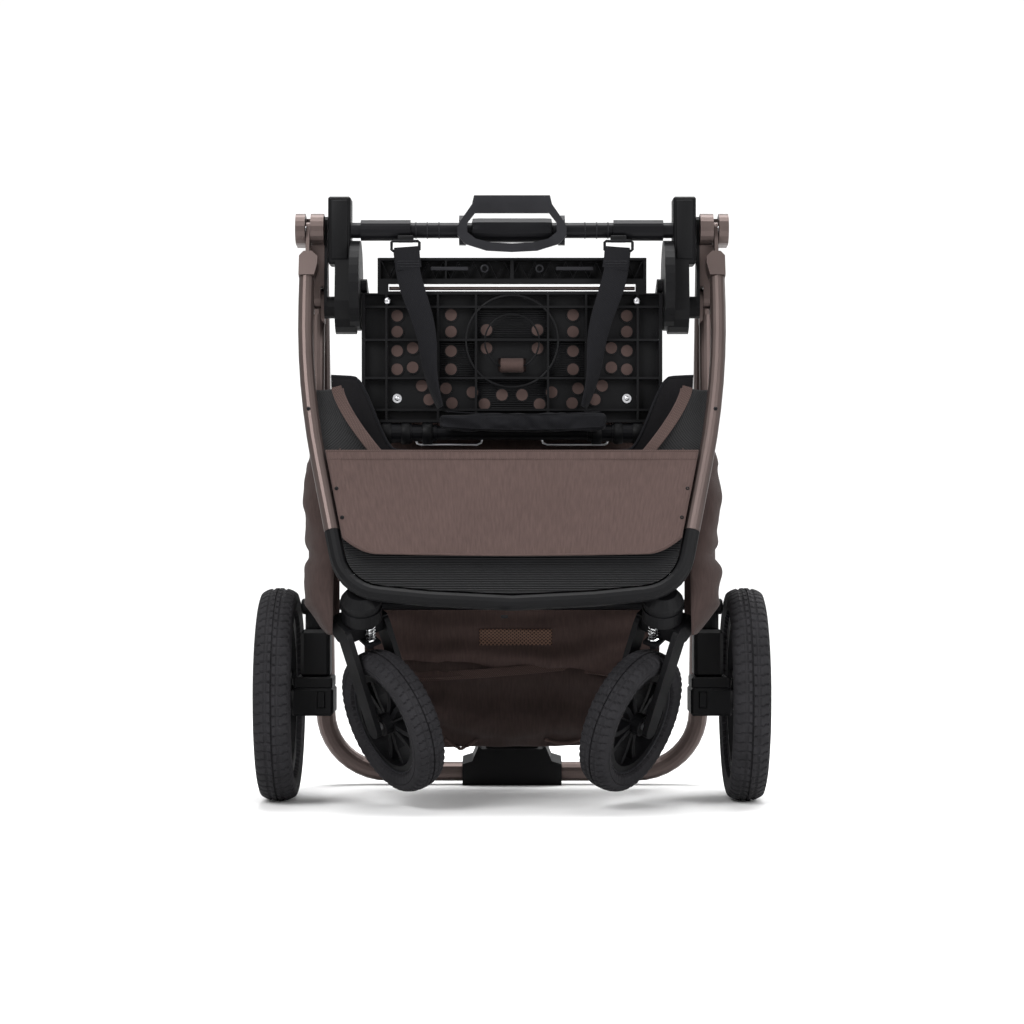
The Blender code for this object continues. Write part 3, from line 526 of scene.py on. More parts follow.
def lathe(name, centre, axis, profile, finish, body, steps=32):
    """A round piece: profile is (along, radius) pairs from the axis back to the axis."""
    place = Matrix.Translation(centre) @ Vector(axis).to_track_quat("Z", "Y").to_matrix().to_4x4()
    rows = [
        [
            place @ Vector((r * math.cos(t), r * math.sin(t), z))
            for t in (2 * math.pi * k / steps for k in range(steps))
        ]
        for z, r in profile
    ]
    mesh, _ = lattice(rows, wrap=True)
    bmesh.ops.remove_doubles(mesh, verts=mesh.verts, dist=1e-6)
    bmesh.ops.recalc_face_normals(mesh, faces=mesh.faces)
    return new_piece(name, mesh, finish, body)


def ring(name, centre, axis, radius, thick, finish, body, steps=40, sides=8):
    place = Matrix.Translation(centre) @ Vector(axis).to_track_quat("Z", "Y").to_matrix().to_4x4()
    path = [
        place @ Vector((radius * math.cos(t), radius * math.sin(t), 0))
        for t in (2 * math.pi * k / steps for k in range(steps))
    ]
    return tube(name, path, thick, finish, body, sides, closed=True)


def screw(name, centre, axis, radius, body, finish="steel"):
    """A domed head with a hexagon socket sunk in it."""
    socket = radius * 0.42
    profile = [
        (-0.0004, radius), (radius * 0.22, radius * 0.96), (radius * 0.42, radius * 0.72),
        (radius * 0.5, socket), (radius * 0.12, socket), (radius * 0.12, 0),
    ]
    return lathe(name, centre, axis, profile, finish, body, 24)


def plate(name, low, high, edge, finish, body):
    """A box with rounded edges."""
    mesh = bmesh.new()
    bmesh.ops.create_cube(mesh, size=1)
    low, high = Vector(low), Vector(high)
    for v in mesh.verts:
        v.co = Vector(((high[k] if v.co[k] > 0 else low[k]) for k in range(3)))
    bmesh.ops.bevel(mesh, geom=mesh.edges[:], offset=edge, segments=3, affect="EDGES", profile=0.5)
    return new_piece(name, mesh, finish, body, 35.0)


def wander(x, y, z, scale, seed):
    """Smooth noise from -1 to 1; scale is its size in metres."""
    return noise.noise(Vector((x / scale + seed, y / scale, z / scale)))


# ---------------------------------------------------------------- frame finishes and wheels
def paint_frame():
    slots = {row["node"]: row["material_slot"] for row in frame["record"]["subparts"]}
    for name, obj in NODES.items():
        finish = slots.get(name, "black_plastic")
        if name == "footrest_plate":
            finish = "grooved_plastic"
        if name == "carry_handle":
            finish = "grey_plastic"
        painted(obj, finish)


def tyre(side, end, blocks, radius, width, wall, tread):
    """A tyre with tread blocks between a centre groove and slanted sipes, and a ringed sidewall."""
    joint = JOINTS[f"{end}_wheel_spin_{side}"]
    facing = Vector(joint["axis"]).to_track_quat("Z", "Y").to_matrix().to_4x4()
    place = Matrix.Translation(joint["pos_m"]) @ facing
    half, inner = width / 2, radius - wall
    side_points = [
        (-0.62, inner), (-0.86, inner + 0.12 * wall), (-0.97, inner + 0.36 * wall),
        (-0.99, inner + 0.42 * wall), (-0.95, inner + 0.45 * wall), (-1.0, inner + 0.50 * wall),
        (-0.99, inner + 0.62 * wall), (-0.93, inner + 0.78 * wall),
    ]
    crown = [-0.86, -0.80, -0.74, -0.64, -0.54, -0.44, -0.36, -0.32, -0.28, -0.20, -0.10, -0.055, -0.045, 0.0]
    crown_points = [(a, radius - 0.17 * wall * abs(a / 0.86) ** 2.6) for a in crown]
    outline = side_points + crown_points
    outline += [(-a, r) for a, r in reversed(outline[:-1])]
    steps, sipe = blocks * 6, 2 * math.pi / blocks
    rows = []
    for a, r in outline:
        row = []
        for k in range(steps):
            turn = 2 * math.pi * k / steps
            depth = 0.0
            if abs(a) < 0.05:
                depth = tread
            elif abs(a) < 0.84 and abs(a) > 0.06:
                lead = 0.30 * abs(a) * sipe * (1 if a > 0 else -1) + (0.5 * sipe if a > 0 else 0)
                share = ((turn + lead) / sipe) % 1.0
                depth = tread if share < 0.17 else 0.0
                if 0.27 < abs(a) < 0.37:
                    depth = max(depth, tread * 0.7)
            elif 0.84 <= abs(a) <= 0.94:
                share = (turn / sipe + (0.5 if a > 0 else 0)) % 1.0
                depth = tread * 0.8 if share < 0.34 else 0.0
            row.append(place @ Vector(((r - depth) * math.cos(turn), (r - depth) * math.sin(turn), a * half)))
        rows.append(row)
    mesh, _ = lattice(rows, wrap=True, wrap_rows=True)
    bmesh.ops.recalc_face_normals(mesh, faces=mesh.faces)
    obj = new_piece(f"tyre_{end}_{side}", mesh, "tyre", f"{end}_wheel_{side}", 32.0)
    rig.replaces(obj, f"{end}_tyre_{side}")
    return obj


def wheels():
    for side, _ in SIDES:
        tyre(side, "rear", 66, 0.127, 0.044, 0.029, 0.0022)
        tyre(side, "front", 52, 0.086, 0.038, 0.0235, 0.0019)
        for end, reach in (("rear", 0.0185), ("front", 0.0160)):
            joint = JOINTS[f"{end}_wheel_spin_{side}"]
            axis, centre = Vector(joint["axis"]), Vector(joint["pos_m"])
            for sign in (-1, 1):
                ring(
                    f"rim_bead_{end}_{side}_{'a' if sign < 0 else 'b'}",
                    centre + axis * sign * reach * 0.72, axis, (0.0965 if end == "rear" else 0.0612),
                    0.0013, "grey_plastic", f"{end}_wheel_{side}", 64, 6,
                )


# ---------------------------------------------------------------- seat board and its straps
BOARD_FACE, POCKET_FLOOR = -0.0120, 0.0000
HOLE_R = 0.0070
# vent holes on one half: distance from the middle, then the heights in that column
VENT_COLUMNS = (
    (0.1375, (0.580, 0.561, 0.538, 0.516)),
    (0.1190, (0.5415, 0.5183)),
    (0.1080, (0.4962,)),
    (0.0993, (0.4797,)),
    (0.0730, (0.581, 0.561, 0.5377, 0.516)),
    (0.0790, (0.4931,)),
    (0.0719, (0.4755,)),
    (0.0305, (0.5630, 0.5412)),
    (0.0475, (0.4885,)),
    (0.0120, (0.4853,)),
    (0.0330, (0.4743,)),
)


def vent_holes():
    rims, discs = bmesh.new(), bmesh.new()
    for distance, heights in VENT_COLUMNS:
        for sign in (-1, 1):
            for z in heights:
                centre = at(sign * distance, POCKET_FLOOR - 0.0008, z)
                for mesh, outer, inner, lift in (
                    (rims, HOLE_R + 0.0014, HOLE_R, 0.0),
                    (discs, HOLE_R, 0.0, -0.0003),
                ):
                    rows = []
                    bore = max(inner, 0.0001)
                    for r, y in ((outer, 0.0006), (outer, -0.0006), (bore, -0.0006), (bore, 0.0006)):
                        rows.append(
                            [
                                mesh.verts.new(
                                    centre + Vector((r * math.cos(t), y - lift, r * math.sin(t))),
                                )
                                for t in (2 * math.pi * k / 20 for k in range(20))
                            ]
                        )
                    for i in range(4):
                        for k in range(20):
                            mesh.faces.new((rows[i][k], rows[i][k - 1], rows[i - 3][k - 1], rows[i - 3][k]))
    for mesh in (rims, discs):
        bmesh.ops.recalc_face_normals(mesh, faces=mesh.faces)
    new_piece("vent_rims", rims, "black_plastic", "seat", 30.0)
    new_piece("vent_cloth", discs, "plain_brown", "seat", 30.0)


def seat_board():
    vent_holes()
    ring(
        "board_round_rib", at(0, BOARD_FACE + 0.0016, 0.549), (0, 1, 0), 0.0550, 0.0015,
        "black_plastic", "seat", 72,
    )
    ring(
        "board_inner_rib", at(0, BOARD_FACE + 0.0034, 0.549), (0, 1, 0), 0.0325, 0.0010,
        "black_plastic", "seat", 60,
    )
    for name, low, high in (
        ("left", (-0.0865, 0.5070), (-0.0450, 0.5490)),
        ("right", (0.0450, 0.5070), (0.0865, 0.5490)),
        ("upper", (-0.0415, 0.5525), (0.0415, 0.5880)),
        ("lower", (-0.0415, 0.4690), (0.0415, 0.5035)),
    ):
        plate(
            f"board_grooves_{name}", at(low[0], POCKET_FLOOR - 0.0004, low[1]),
            at(high[0], POCKET_FLOOR + 0.0012, high[1]), 0.0004, "grooved_plastic", "seat",
        )
    zigzag, count, reach = [], 34, 0.1555
    for k in range(count + 1):
        zigzag.append(at(-reach + 2 * reach * k / count, BOARD_FACE + 0.0042, 0.6250 if k % 2 else 0.6440))
    tape(
        "board_zigzag", zigzag, [Vector((0, 0, 1))] * len(zigzag), [0.0075] * len(zigzag), 0.0013,
        "black_plastic", "seat",
    )
    for side, sign in SIDES:
        plate(
            f"board_slot_{side}", at(min(sign * 0.0525, sign * 0.0970), BOARD_FACE - 0.0006, 0.6335),
            at(max(sign * 0.0525, sign * 0.0970), BOARD_FACE + 0.003, 0.6378), 0.0006, "grey_plastic",
            "seat",
        )
        ring(
            f"board_eyelet_{side}", at(sign * 0.0328, BOARD_FACE + 0.0004, 0.6356), (0, 1, 0), 0.0040,
            0.0011, "grey_plastic", "seat", 28,
        )
        screw(f"board_screw_{side}", at(sign * 0.149, BOARD_FACE, 0.597), (0, -1, 0), 0.0038, "seat")
        lathe(
            f"board_washer_{side}", at(sign * 0.1375, POCKET_FLOOR, 0.4810), (0, -1, 0),
            [(0, 0.0056), (0.0010, 0.0054), (0.0012, 0.0030)], "steel", "seat", 24,
        )
        screw(
            f"board_rivet_{side}", at(sign * 0.1375, POCKET_FLOOR - 0.0012, 0.4810), (0, -1, 0), 0.0030,
            "seat",
        )
        for k, z in enumerate((0.7116, 0.6940, 0.6810, 0.6620)):
            screw(
                f"side_stud_{side}_{k}", at(sign * 0.2045, -0.0219, z), (0, -1, 0),
                0.0023 if k < 3 else 0.0032, "seat", "grey_plastic" if k < 3 else "steel",
            )
        plate(
            f"side_cover_{side}", at(min(sign * 0.1955, sign * 0.2155), -0.0236, 0.646),
            at(max(sign * 0.1955, sign * 0.2155), -0.0215, 0.7165), 0.0012, "black_plastic", "seat",
        )
    tube(
        "seat_bronze_rod", [at(-0.147, -0.0035, 0.6125), at(0.147, -0.0035, 0.6125)], 0.0022, "bronze",
        "seat", 12,
    )
    loop = [
        at(0, 0.0020, 0.5285), at(0, -0.0085, 0.5275), at(0, -0.0150, 0.5230), at(0, -0.0155, 0.5180),
        at(0, -0.0090, 0.5135), at(0, 0.0020, 0.5130),
    ]
    facing = [Vector((0, -1, 0.4))] * 3 + [Vector((0, -1, -0.4))] * 3
    tape("crotch_strap", loop, facing, [0.0270] * 6, 0.0020, "brown_binding", "seat")


def carry_fittings():
    z, y = 0.6608, -0.0290
    for side, sign in SIDES:
        half, tall, r = 0.0165, 0.0058, 0.0018
        centre = sign * 0.1265
        path = [
            at(centre + a * half, y, z + b * tall)
            for a, b in (
                (-1, -0.75), (-0.9, -1), (0.9, -1), (1, -0.75), (1, 0.75), (0.9, 1), (-0.9, 1),
                (-1, 0.75),
            )
        ]
        tube(f"strap_loop_{side}", path, r, "black_metal", "seat", 10, closed=True)
        plate(
            f"strap_clip_{side}", at(min(sign * 0.117, sign * 0.136), y - 0.001, z + 0.0045),
            at(max(sign * 0.117, sign * 0.136), -0.021, z + 0.0125), 0.0012, "black_plastic", "seat",
        )
        for k, x in enumerate((0.0870, 0.1010, 0.1145)):
            ring(
                f"tube_groove_{side}_{k}", at(sign * x, -0.012, 0.681), (1, 0, 0), 0.0095, 0.0007,
                "grey_plastic", "seat", 28, 6,
            )
        wire = [
            at(sign * x, -0.004, z)
            for x, z in (
                (0.1150, 0.4330), (0.1135, 0.4272), (0.1100, 0.4255), (0.0420, 0.4255),
                (0.0370, 0.4275), (0.0355, 0.4330),
            )
        ]
        tube(f"front_wire_{side}", wire, 0.0013, "steel", "seat", 10)
        for k, (x, width) in enumerate(((0.1500, 0.012), (0.1270, 0.010), (0.1010, 0.012))):
            lathe(
                f"front_collar_{side}_{k}", at(sign * x - width / 2, -0.004, 0.4395), (1, 0, 0),
                [
                    (0, 0.0098), (0, 0.0128), (0.001, 0.0135), (width - 0.001, 0.0135), (width, 0.0128),
                    (width, 0.0098),
                ],
                "black_plastic", "seat", 28,
            )


def straps():
    """Each strap falls from its loop, turning from face on to nearly edge on as it gathers at the pad."""
    top_x, end_x, top_z, end_z, y = 0.1265, 0.0852, 0.6560, 0.4690, -0.0292
    steps = 40
    for side, sign in SIDES:
        path, facings, widths = [], [], []
        for k in range(steps + 1):
            t = k / steps
            gather = max(0.0, (t - 0.25) / 0.75)
            turn = math.radians(4 + 66 * gather ** 1.5) * sign
            x = sign * (top_x + (end_x - top_x) * t + 0.0025 * math.sin(3 * math.pi * t))
            depth = y - 0.0022 * math.sin(2.2 * math.pi * t)
            path.append(at(x, depth, top_z + (end_z - top_z) * t))
            facings.append(Vector((math.sin(turn), -math.cos(turn), 0)))
            widths.append(0.0290 - 0.0100 * gather)
        strap = tape(f"webbing_strap_{side}", path, facings, widths, 0.0018, "webbing", "seat")
        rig.replaces(strap, f"strap_{side}")
        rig.sheet(
            strap, flat=(0.029, 0.215), held="hung", rests_on=[f"strap_loop_{side}"],
            area=0.029 * 0.215 * 0.83,
        )
        fold = [
            at(sign * (top_x - 0.0015), y - 0.0022, top_z + 0.0035),
            at(sign * (top_x - 0.0025), y - 0.0026, top_z - 0.010),
            at(sign * (top_x - 0.0045), y - 0.0022, top_z - 0.0225),
        ]
        tape(f"strap_fold_{side}", fold, [Vector((0, -1, 0))] * 3, [0.0300] * 3, 0.0020, "webbing", "seat")
        for k, drop in enumerate((0.0135, 0.0165, 0.0195)):
            seam = [at(sign * (top_x - 0.0035) + a * 0.0128, y - 0.0037, top_z - drop) for a in (-1, 1)]
            tube(f"strap_stitch_{side}_{k}", seam, 0.00035, "grey_plastic", "seat", 6)


# ---------------------------------------------------------------- padded pieces
def padded_body(name, source, finish, voxel):
    """A closed soft form that starts as the CAD solid's own shape, in even small faces."""
    data = NODES[source].data.copy()
    obj = bpy.data.objects.new(name, data)
    bpy.context.scene.collection.objects.link(obj)
    obj.data.transform(NODES[source].matrix_world)
    weld = obj.modifiers.new("weld", "WELD")
    weld.merge_threshold = 0.0001
    remesh = obj.modifiers.new("remesh", "REMESH")
    remesh.mode, remesh.voxel_size = "VOXEL", voxel
    settle(obj)
    painted(obj, finish)
    return obj


def points_of(obj):
    flat = np.zeros(len(obj.data.vertices) * 3)
    obj.data.vertices.foreach_get("co", flat)
    return flat.reshape(-1, 3)


def set_points(obj, points):
    obj.data.vertices.foreach_set("co", points.astype(np.float32).ravel())
    obj.data.update()


def inflate(obj, pressure, growth, cap, held, frames=20):
    """Blows the form up as cloth. held(point), 0 to 1, is how firmly a point stays; cap is its longest move."""
    rest = points_of(obj)
    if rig.quick():
        return obj
    group = obj.vertex_groups.new(name="held")
    for k, point in enumerate(rest):
        group.add([k], held(point), "REPLACE")
    change = obj.modifiers.new("cloth", "CLOTH")
    cloth_settings = change.settings
    cloth_settings.quality, cloth_settings.mass = 5, 0.15
    cloth_settings.tension_stiffness = cloth_settings.compression_stiffness = 12.0
    cloth_settings.shear_stiffness, cloth_settings.bending_stiffness = 4.0, 0.15
    cloth_settings.vertex_group_mass, cloth_settings.pin_stiffness = "held", 1.0
    cloth_settings.use_pressure, cloth_settings.uniform_pressure_force = True, pressure
    cloth_settings.shrink_min = -growth
    cloth_settings.effector_weights.gravity = 0.0
    change.point_cache.frame_start, change.point_cache.frame_end = 1, frames
    scene = bpy.context.scene
    for number in range(1, frames + 1):
        scene.frame_set(number)
    settle(obj)
    scene.frame_set(1)
    moved = points_of(obj) - rest
    length = np.linalg.norm(moved, axis=1, keepdims=True)
    set_points(obj, rest + moved * np.minimum(1.0, cap / np.maximum(length, 1e-9)))
    return obj


def mapped(obj, first, second):
    """UVs in metres along two directions, so that the weave keeps its size."""
    layer = obj.data.uv_layers.new(name="UVMap") if not obj.data.uv_layers else obj.data.uv_layers[0]
    for loop in obj.data.loops:
        point = obj.data.vertices[loop.vertex_index].co
        layer.data[loop.index].uv = (point.dot(first), point.dot(second))
    obj.data.shade_smooth()
    return obj


def smoothed(obj, turns):
    soft = obj.modifiers.new("smooth", "SMOOTH")
    soft.factor, soft.iterations = 0.5, turns
    finer = obj.modifiers.new("finer", "SUBSURF")
    finer.levels = finer.render_levels = 1
    settle(obj)
    return obj


def edge_piping(name, low, high, radius, finish, body):
    """A cord round the middle of a pad's edge."""
    y, r = (low.y + high.y) / 2, 0.012
    corners = ((low.x, low.z), (high.x, low.z), (high.x, high.z), (low.x, high.z))
    path = []
    for k, (x, z) in enumerate(corners):
        cx, cz = x + (r if x == low.x else -r), z + (r if z == low.z else -r)
        for step in range(5):
            turn = math.radians(180 + 90 * k + 22.5 * step)
            path.append(Vector((cx + r * math.cos(turn), y, cz + r * math.sin(turn))))
    return tube(name, path, radius, finish, body, 8, closed=True)


BACK_LEAN = math.radians(7.5)
DOWN, OUT = Vector(
    (0, math.sin(BACK_LEAN), -math.cos(BACK_LEAN)),
), Vector((0, math.cos(BACK_LEAN), math.sin(BACK_LEAN)))
RECLINE = Vector(JOINTS["backrest_recline"]["pos_m"])


SHELL_BACK = 0.0495


def on_back(x, drop, depth):
    return RECLINE + Vector((x, 0, 0)) + DOWN * drop + OUT * depth


def back_cover():
    """The fabric over the back of the shell, drawn in along its seams."""
    top, low, half = 0.024, 0.362, 0.1725
    seam_x, seam_drops = 0.118, (0.120, 0.240)

    def point(u, v):
        x, drop = (2 * u - 1) * half, top + (low - top) * v
        rim = min(1.0, min(u, 1 - u) * 24, min(v, 1 - v) * 40)
        seams = min(abs(abs(x) - seam_x), *(abs(drop - seam_drop) for seam_drop in seam_drops))
        puff = 0.0010 + 0.0014 * min(1.0, seams / 0.012) ** 0.6
        puff += 0.0005 * wander(x, 0, drop, 0.03, 21.0)
        return on_back(x, drop, SHELL_BACK + 0.0005 + puff * rim ** 0.5)

    cover = surface("back_cover", point, 120, 110, "brown_fabric", "backrest", 0.0007)
    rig.sheet(cover, flat=(0.345, 0.338), held="stretched", rests_on=["backrest_shell"])
    across = [((-half, drop), (half, drop)) for drop in seam_drops]
    along = [((x, top), (x, low)) for x in (-seam_x, seam_x)]
    for k, (a, b) in enumerate(across + along):
        line = [
            on_back(a[0] + (b[0] - a[0]) * t, a[1] + (b[1] - a[1]) * t, SHELL_BACK + 0.0022)
            for t in np.linspace(0, 1, 24)
        ]
        tube(f"back_seam_{k}", line, 0.0009, "brown_binding", "backrest", 6)
    rim = [(-half, top), (half, top), (half, low), (-half, low)]
    path = []
    for (x0, d0), (x1, d1) in zip(rim, rim[1:] + rim[:1]):
        path += [
            on_back(x0 + (x1 - x0) * t, d0 + (d1 - d0) * t, SHELL_BACK + 0.0014)
            for t in np.linspace(0, 0.98, 16)
        ]
    tube("back_cover_piping", path, 0.0016, "webbing", "backrest", 8, closed=True)


def pads():
    low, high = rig.box("seat_cushion")
    thick = high.y - low.y
    seat_pad = padded_body("seat_pad", "seat_cushion", "plain_brown", 0.0042)
    seams = (low.z + (high.z - low.z) / 3, low.z + 2 * (high.z - low.z) / 3)

    def held_seat(point):
        rim = min(point[0] - low.x, high.x - point[0], point[2] - low.z, high.z - point[2])
        near_seam = min(abs(point[2] - z) for z in seams)
        front = 1.0 if point[1] < low.y + 0.3 * thick else 0.0
        return max(front, 1.0 if near_seam < 0.003 else 0.0, 0.7 if rim < 0.004 else 0.0)

    inflate(seat_pad, 4.0, 0.04, 0.006, held_seat)
    smoothed(seat_pad, 3)
    mapped(seat_pad, Vector((1, 0, 0)), Vector((0, 0.6, 1)))
    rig.ride(seat_pad, "seat")
    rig.replaces(seat_pad, "seat_cushion")
    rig.padded(seat_pad, fill=0.5)
    edge_piping("seat_pad_piping", low, high, 0.0018, "brown_binding", "seat")

    rest_pad = padded_body("backrest_padding", "backrest_pad", "plain_brown", 0.0046)
    channel = 0.072

    def held_back(point):
        from_pivot = Vector(point) - RECLINE
        drop, depth = from_pivot.dot(DOWN), from_pivot.dot(OUT)
        on_seam = abs((drop / channel) % 1.0 - 0.5) < 0.045
        back = depth > 0.036
        side = abs(point[0]) > 0.168
        return max(1.0 if back else 0.0, 1.0 if on_seam else 0.0, 0.6 if side else 0.0)

    inflate(rest_pad, 4.0, 0.04, 0.007, held_back)
    smoothed(rest_pad, 3)
    mapped(rest_pad, Vector((1, 0, 0)), -DOWN)
    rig.ride(rest_pad, "backrest")
    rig.replaces(rest_pad, "backrest_pad")
    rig.padded(rest_pad, fill=0.5)

    back_cover()
    low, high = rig.box("shoulder_pad")
    pad = padded_body("strap_pad", "shoulder_pad", "webbing", 0.0032)
    length, centre = high.x - low.x, (low + high) / 2
    points = points_of(pad)
    for k, (x, y, z) in enumerate(points):
        t = (x - centre.x) / (length / 2)
        crumple = max(0.0, -t - 0.45) / 0.55
        height = (z - centre.z) * (0.86 - 0.12 * t * t - 0.20 * crumple)
        sag = 0.0035 * t * t - 0.0025
        crease = 0.0030 * crumple * math.sin(190 * (z - centre.z) + 60 * x)
        points[k] = (x, y + crease, centre.z + height + sag + 0.0015 * wander(x, y, z, 0.02, 3.0))
    set_points(pad, points)
    inflate(pad, 3.0, 0.08, 0.0035, lambda p: 1.0 if abs(p[2] - centre.z) > 0.42 * (high.z - low.z) else 0.0)
    smoothed(pad, 2)
    mapped(pad, Vector((1, 0, 0)), Vector((0, 0.6, 1)))
    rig.ride(pad, "seat")
    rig.replaces(pad, "shoulder_pad")
    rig.padded(pad, fill=0.4)
    for k, height in enumerate((-0.0095, 0.0085)):
        stitch = [
            Vector(
                (
                    centre.x + t * length / 2 * 0.93, low.y - 0.0002,
                    centre.z + height + 0.0035 * t * t - 0.0025,
                ),
            )
            for t in np.linspace(-1, 1, 24)
        ]
        tube(f"pad_seam_{k}", stitch, 0.0006, "webbing", "seat", 6)


# ---------------------------------------------------------------- basket
LEG_X, CORNER_X, BEND_DROP, CORNER_DROP, TUBE_R = 0.2439, 0.1915, 0.200, 0.456, 0.009
PANEL_TOP, PANEL_LOW = 0.288, 0.417
TUB_HALF, TUB_FLOOR, TUB_TOP, TUB_BACK = 0.199, 0.268, 0.4192, -0.0300
FRONT_PIVOT_Y = -0.005


def on_front(x, drop, forward):
    """A point in the front frame's leaning plane: this far down it, and this far behind it."""
    y = FRONT_PIVOT_Y + forward * math.cos(FRONT_LEAN) - drop * math.sin(FRONT_LEAN)
    return at(x, y, HUB_Z - forward * math.sin(FRONT_LEAN) - drop * math.cos(FRONT_LEAN))


def front_plane_y(z, behind):
    """How far along Y the plane this far behind the front frame is, at height z."""
    return FRONT_PIVOT_Y + (behind + (z - HUB_Z) * math.sin(FRONT_LEAN)) / math.cos(FRONT_LEAN)


def leg_x(drop):
    return LEG_X + (CORNER_X - LEG_X) * max(0.0, drop - BEND_DROP) / (CORNER_DROP - BEND_DROP)


def panel_low(share):
    """The panel's lower edge: nearly straight, and rounded up at its ends."""
    return PANEL_LOW - 0.003 * abs(share) ** 1.5 - 0.019 * max(0.0, (abs(share) - 0.80) / 0.20) ** 2.2


def front_panel():
    def point(u, v):
        share = 2 * u - 1
        drop = PANEL_TOP + (panel_low(share) - PANEL_TOP) * v
        reach = leg_x(drop) - TUBE_R - 0.0009
        x = share * reach
        ripple = 0.0007 * wander(
            x, 0, drop, 0.10, 1.0,
        ) + 0.0005 * math.cos(math.pi * share * 3) * math.sin(math.pi * v)
        return on_front(x, drop, -0.0072 + ripple)

    panel = surface("basket_panel", point, 110, 42, "brown_fabric", "front_frame", 0.0020)
    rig.replaces(panel, "basket_front")
    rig.sheet(panel, flat=(0.411, 0.129), held="stretched", rests_on=["front_leg_left", "front_leg_right"])
    hem = [
        on_front(t * (leg_x(PANEL_TOP) - TUBE_R - 0.0012), PANEL_TOP + 0.0003, -0.0072)
        for t in np.linspace(-1, 1, 30)
    ]
    tube("panel_hem", hem, 0.0014, "brown_binding", "front_frame", 8)
    seam = [
        on_front(t * (leg_x(PANEL_TOP) - TUBE_R - 0.003), PANEL_TOP + 0.0105, -0.0084)
        for t in np.linspace(-1, 1, 30)
    ]
    tube("panel_seam", seam, 0.0004, "brown_binding", "front_frame", 6)
    low_seam = [
        on_front(
            (2 * u - 1) * (leg_x(panel_low(2 * u - 1)) - TUBE_R - 0.004), panel_low(2 * u - 1) - 0.0010,
            -0.0076,
        )
        for u in np.linspace(0, 1, 48)
    ]
    tube("panel_low_hem", low_seam, 0.0013, "plain_brown", "front_frame", 8)
    for side, sign in SIDES:
        for k, drop in enumerate((0.3352, 0.3707)):
            screw(
                f"panel_stud_{side}_{k}",
                on_front(sign * (leg_x(drop) - TUBE_R - 0.0055), drop, -0.0084),
                on_front(0, 0, -1) - on_front(0, 0, 0), 0.0024, "front_frame", "black_plastic",
            )
        screw(
            f"leg_screw_{side}", on_front(sign * leg_x(0.236), 0.236, -0.0088),
            on_front(0, 0, -1) - on_front(0, 0, 0), 0.0024, "front_frame", "black_metal",
        )
    plate(
        "footrest_tab", on_front(-0.0125, 0.4905, -0.0040),
        on_front(-0.0045, 0.4830, 0.0040) - Vector((0, 0, 0.0010)), 0.0010, "black_plastic",
        "front_frame",
    )


def wings():
    """The mesh corner beside each leg, and the wide brown binding that curves down it."""
    top, low = 0.203, 0.292
    for side, sign in SIDES:
        def inner(t):
            return 0.2110 - 0.0545 * t ** 1.35

        def point(u, v):
            drop = top + (low - top) * v
            outer = leg_x(drop) - 0.004
            x = outer + (inner(v) - outer) * u
            sink = 0.0105 + 0.0040 * math.sin(math.pi * u) + 0.0015 * wander(x, 1, drop, 0.03, 5.0)
            return on_front(sign * x, drop, sink)

        mesh = surface(f"mesh_corner_{side}", point, 20, 30, "black_mesh", "front_frame", 0.0010)
        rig.sheet(
            mesh, flat=(0.085, 0.092), held="stretched", rests_on=[f"front_leg_{side}"],
            area=0.5 * 0.085 * 0.092,
        )
        steps = [k / 22 for k in range(23)]
        path = [
            on_front(
                sign * (inner(t) - 0.0050), top - 0.002 + (low + 0.003 - top) * t,
                0.0085 + 0.001 * math.sin(6 * t),
            )
            for t in steps
        ]
        facing = on_front(0, 0, -1) - on_front(0, 0, 0)
        twist = [facing + Vector((sign * (0.25 - 0.5 * t), 0, 0)) for t in steps]
        tape(f"corner_binding_{side}", path, twist, [0.0125] * 23, 0.0022, "brown_binding", "front_frame")
        path = [on_front(sign * (inner(t) - 0.0125), top + (low - top) * t, 0.0084) for t in steps]
        tube(f"corner_cord_{side}", path, 0.0010, "plain_brown", "front_frame", 8)


def wall_top(x):
    """The rear wall's upper edge: it sags between the legs and rises steeply beside them."""
    out = abs(x)
    rise = min(1.0, max(0.0, (out - 0.138) / 0.050))
    return 0.4180 - 0.0060 * math.cos(math.pi * out / 0.28) + 0.083 * rise * rise * (3 - 2 * rise)


def rear_wall():
    reach = 0.2145

    def point(u, v):
        x = (2 * u - 1) * reach
        z = wall_top(x) + (TUB_FLOOR + 0.004 - wall_top(x)) * v
        fold = 0.0035 * wander(x, 0, z, 0.035, 2.0) + 0.002 * math.sin(70 * x + 30 * z)
        return at(x * (1 - 0.03 * v), TUB_BACK - 0.0060 + fold * (1 - 0.4 * v), z)

    wall = surface("rear_wall", point, 120, 50, "black_fabric", "rear_frame", 0.0014)
    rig.sheet(wall, flat=(0.437, 0.19), held="hung", rests_on=["cross_tube"], area=0.437 * 0.19 * 0.86)
    edge = [
        at(
            x,
            TUB_BACK - 0.0060 + 0.0035 * wander(
                x, 0, wall_top(x), 0.035, 2.0,
            ) + 0.002 * math.sin(70 * x + 30 * wall_top(x)),
            wall_top(x) + 0.0004,
        )
        for x in np.linspace(-reach, reach, 90)
    ]
    tube("rear_wall_hem", edge, 0.0019, "webbing", "rear_frame", 8)


SEAM_BEHIND = 0.045


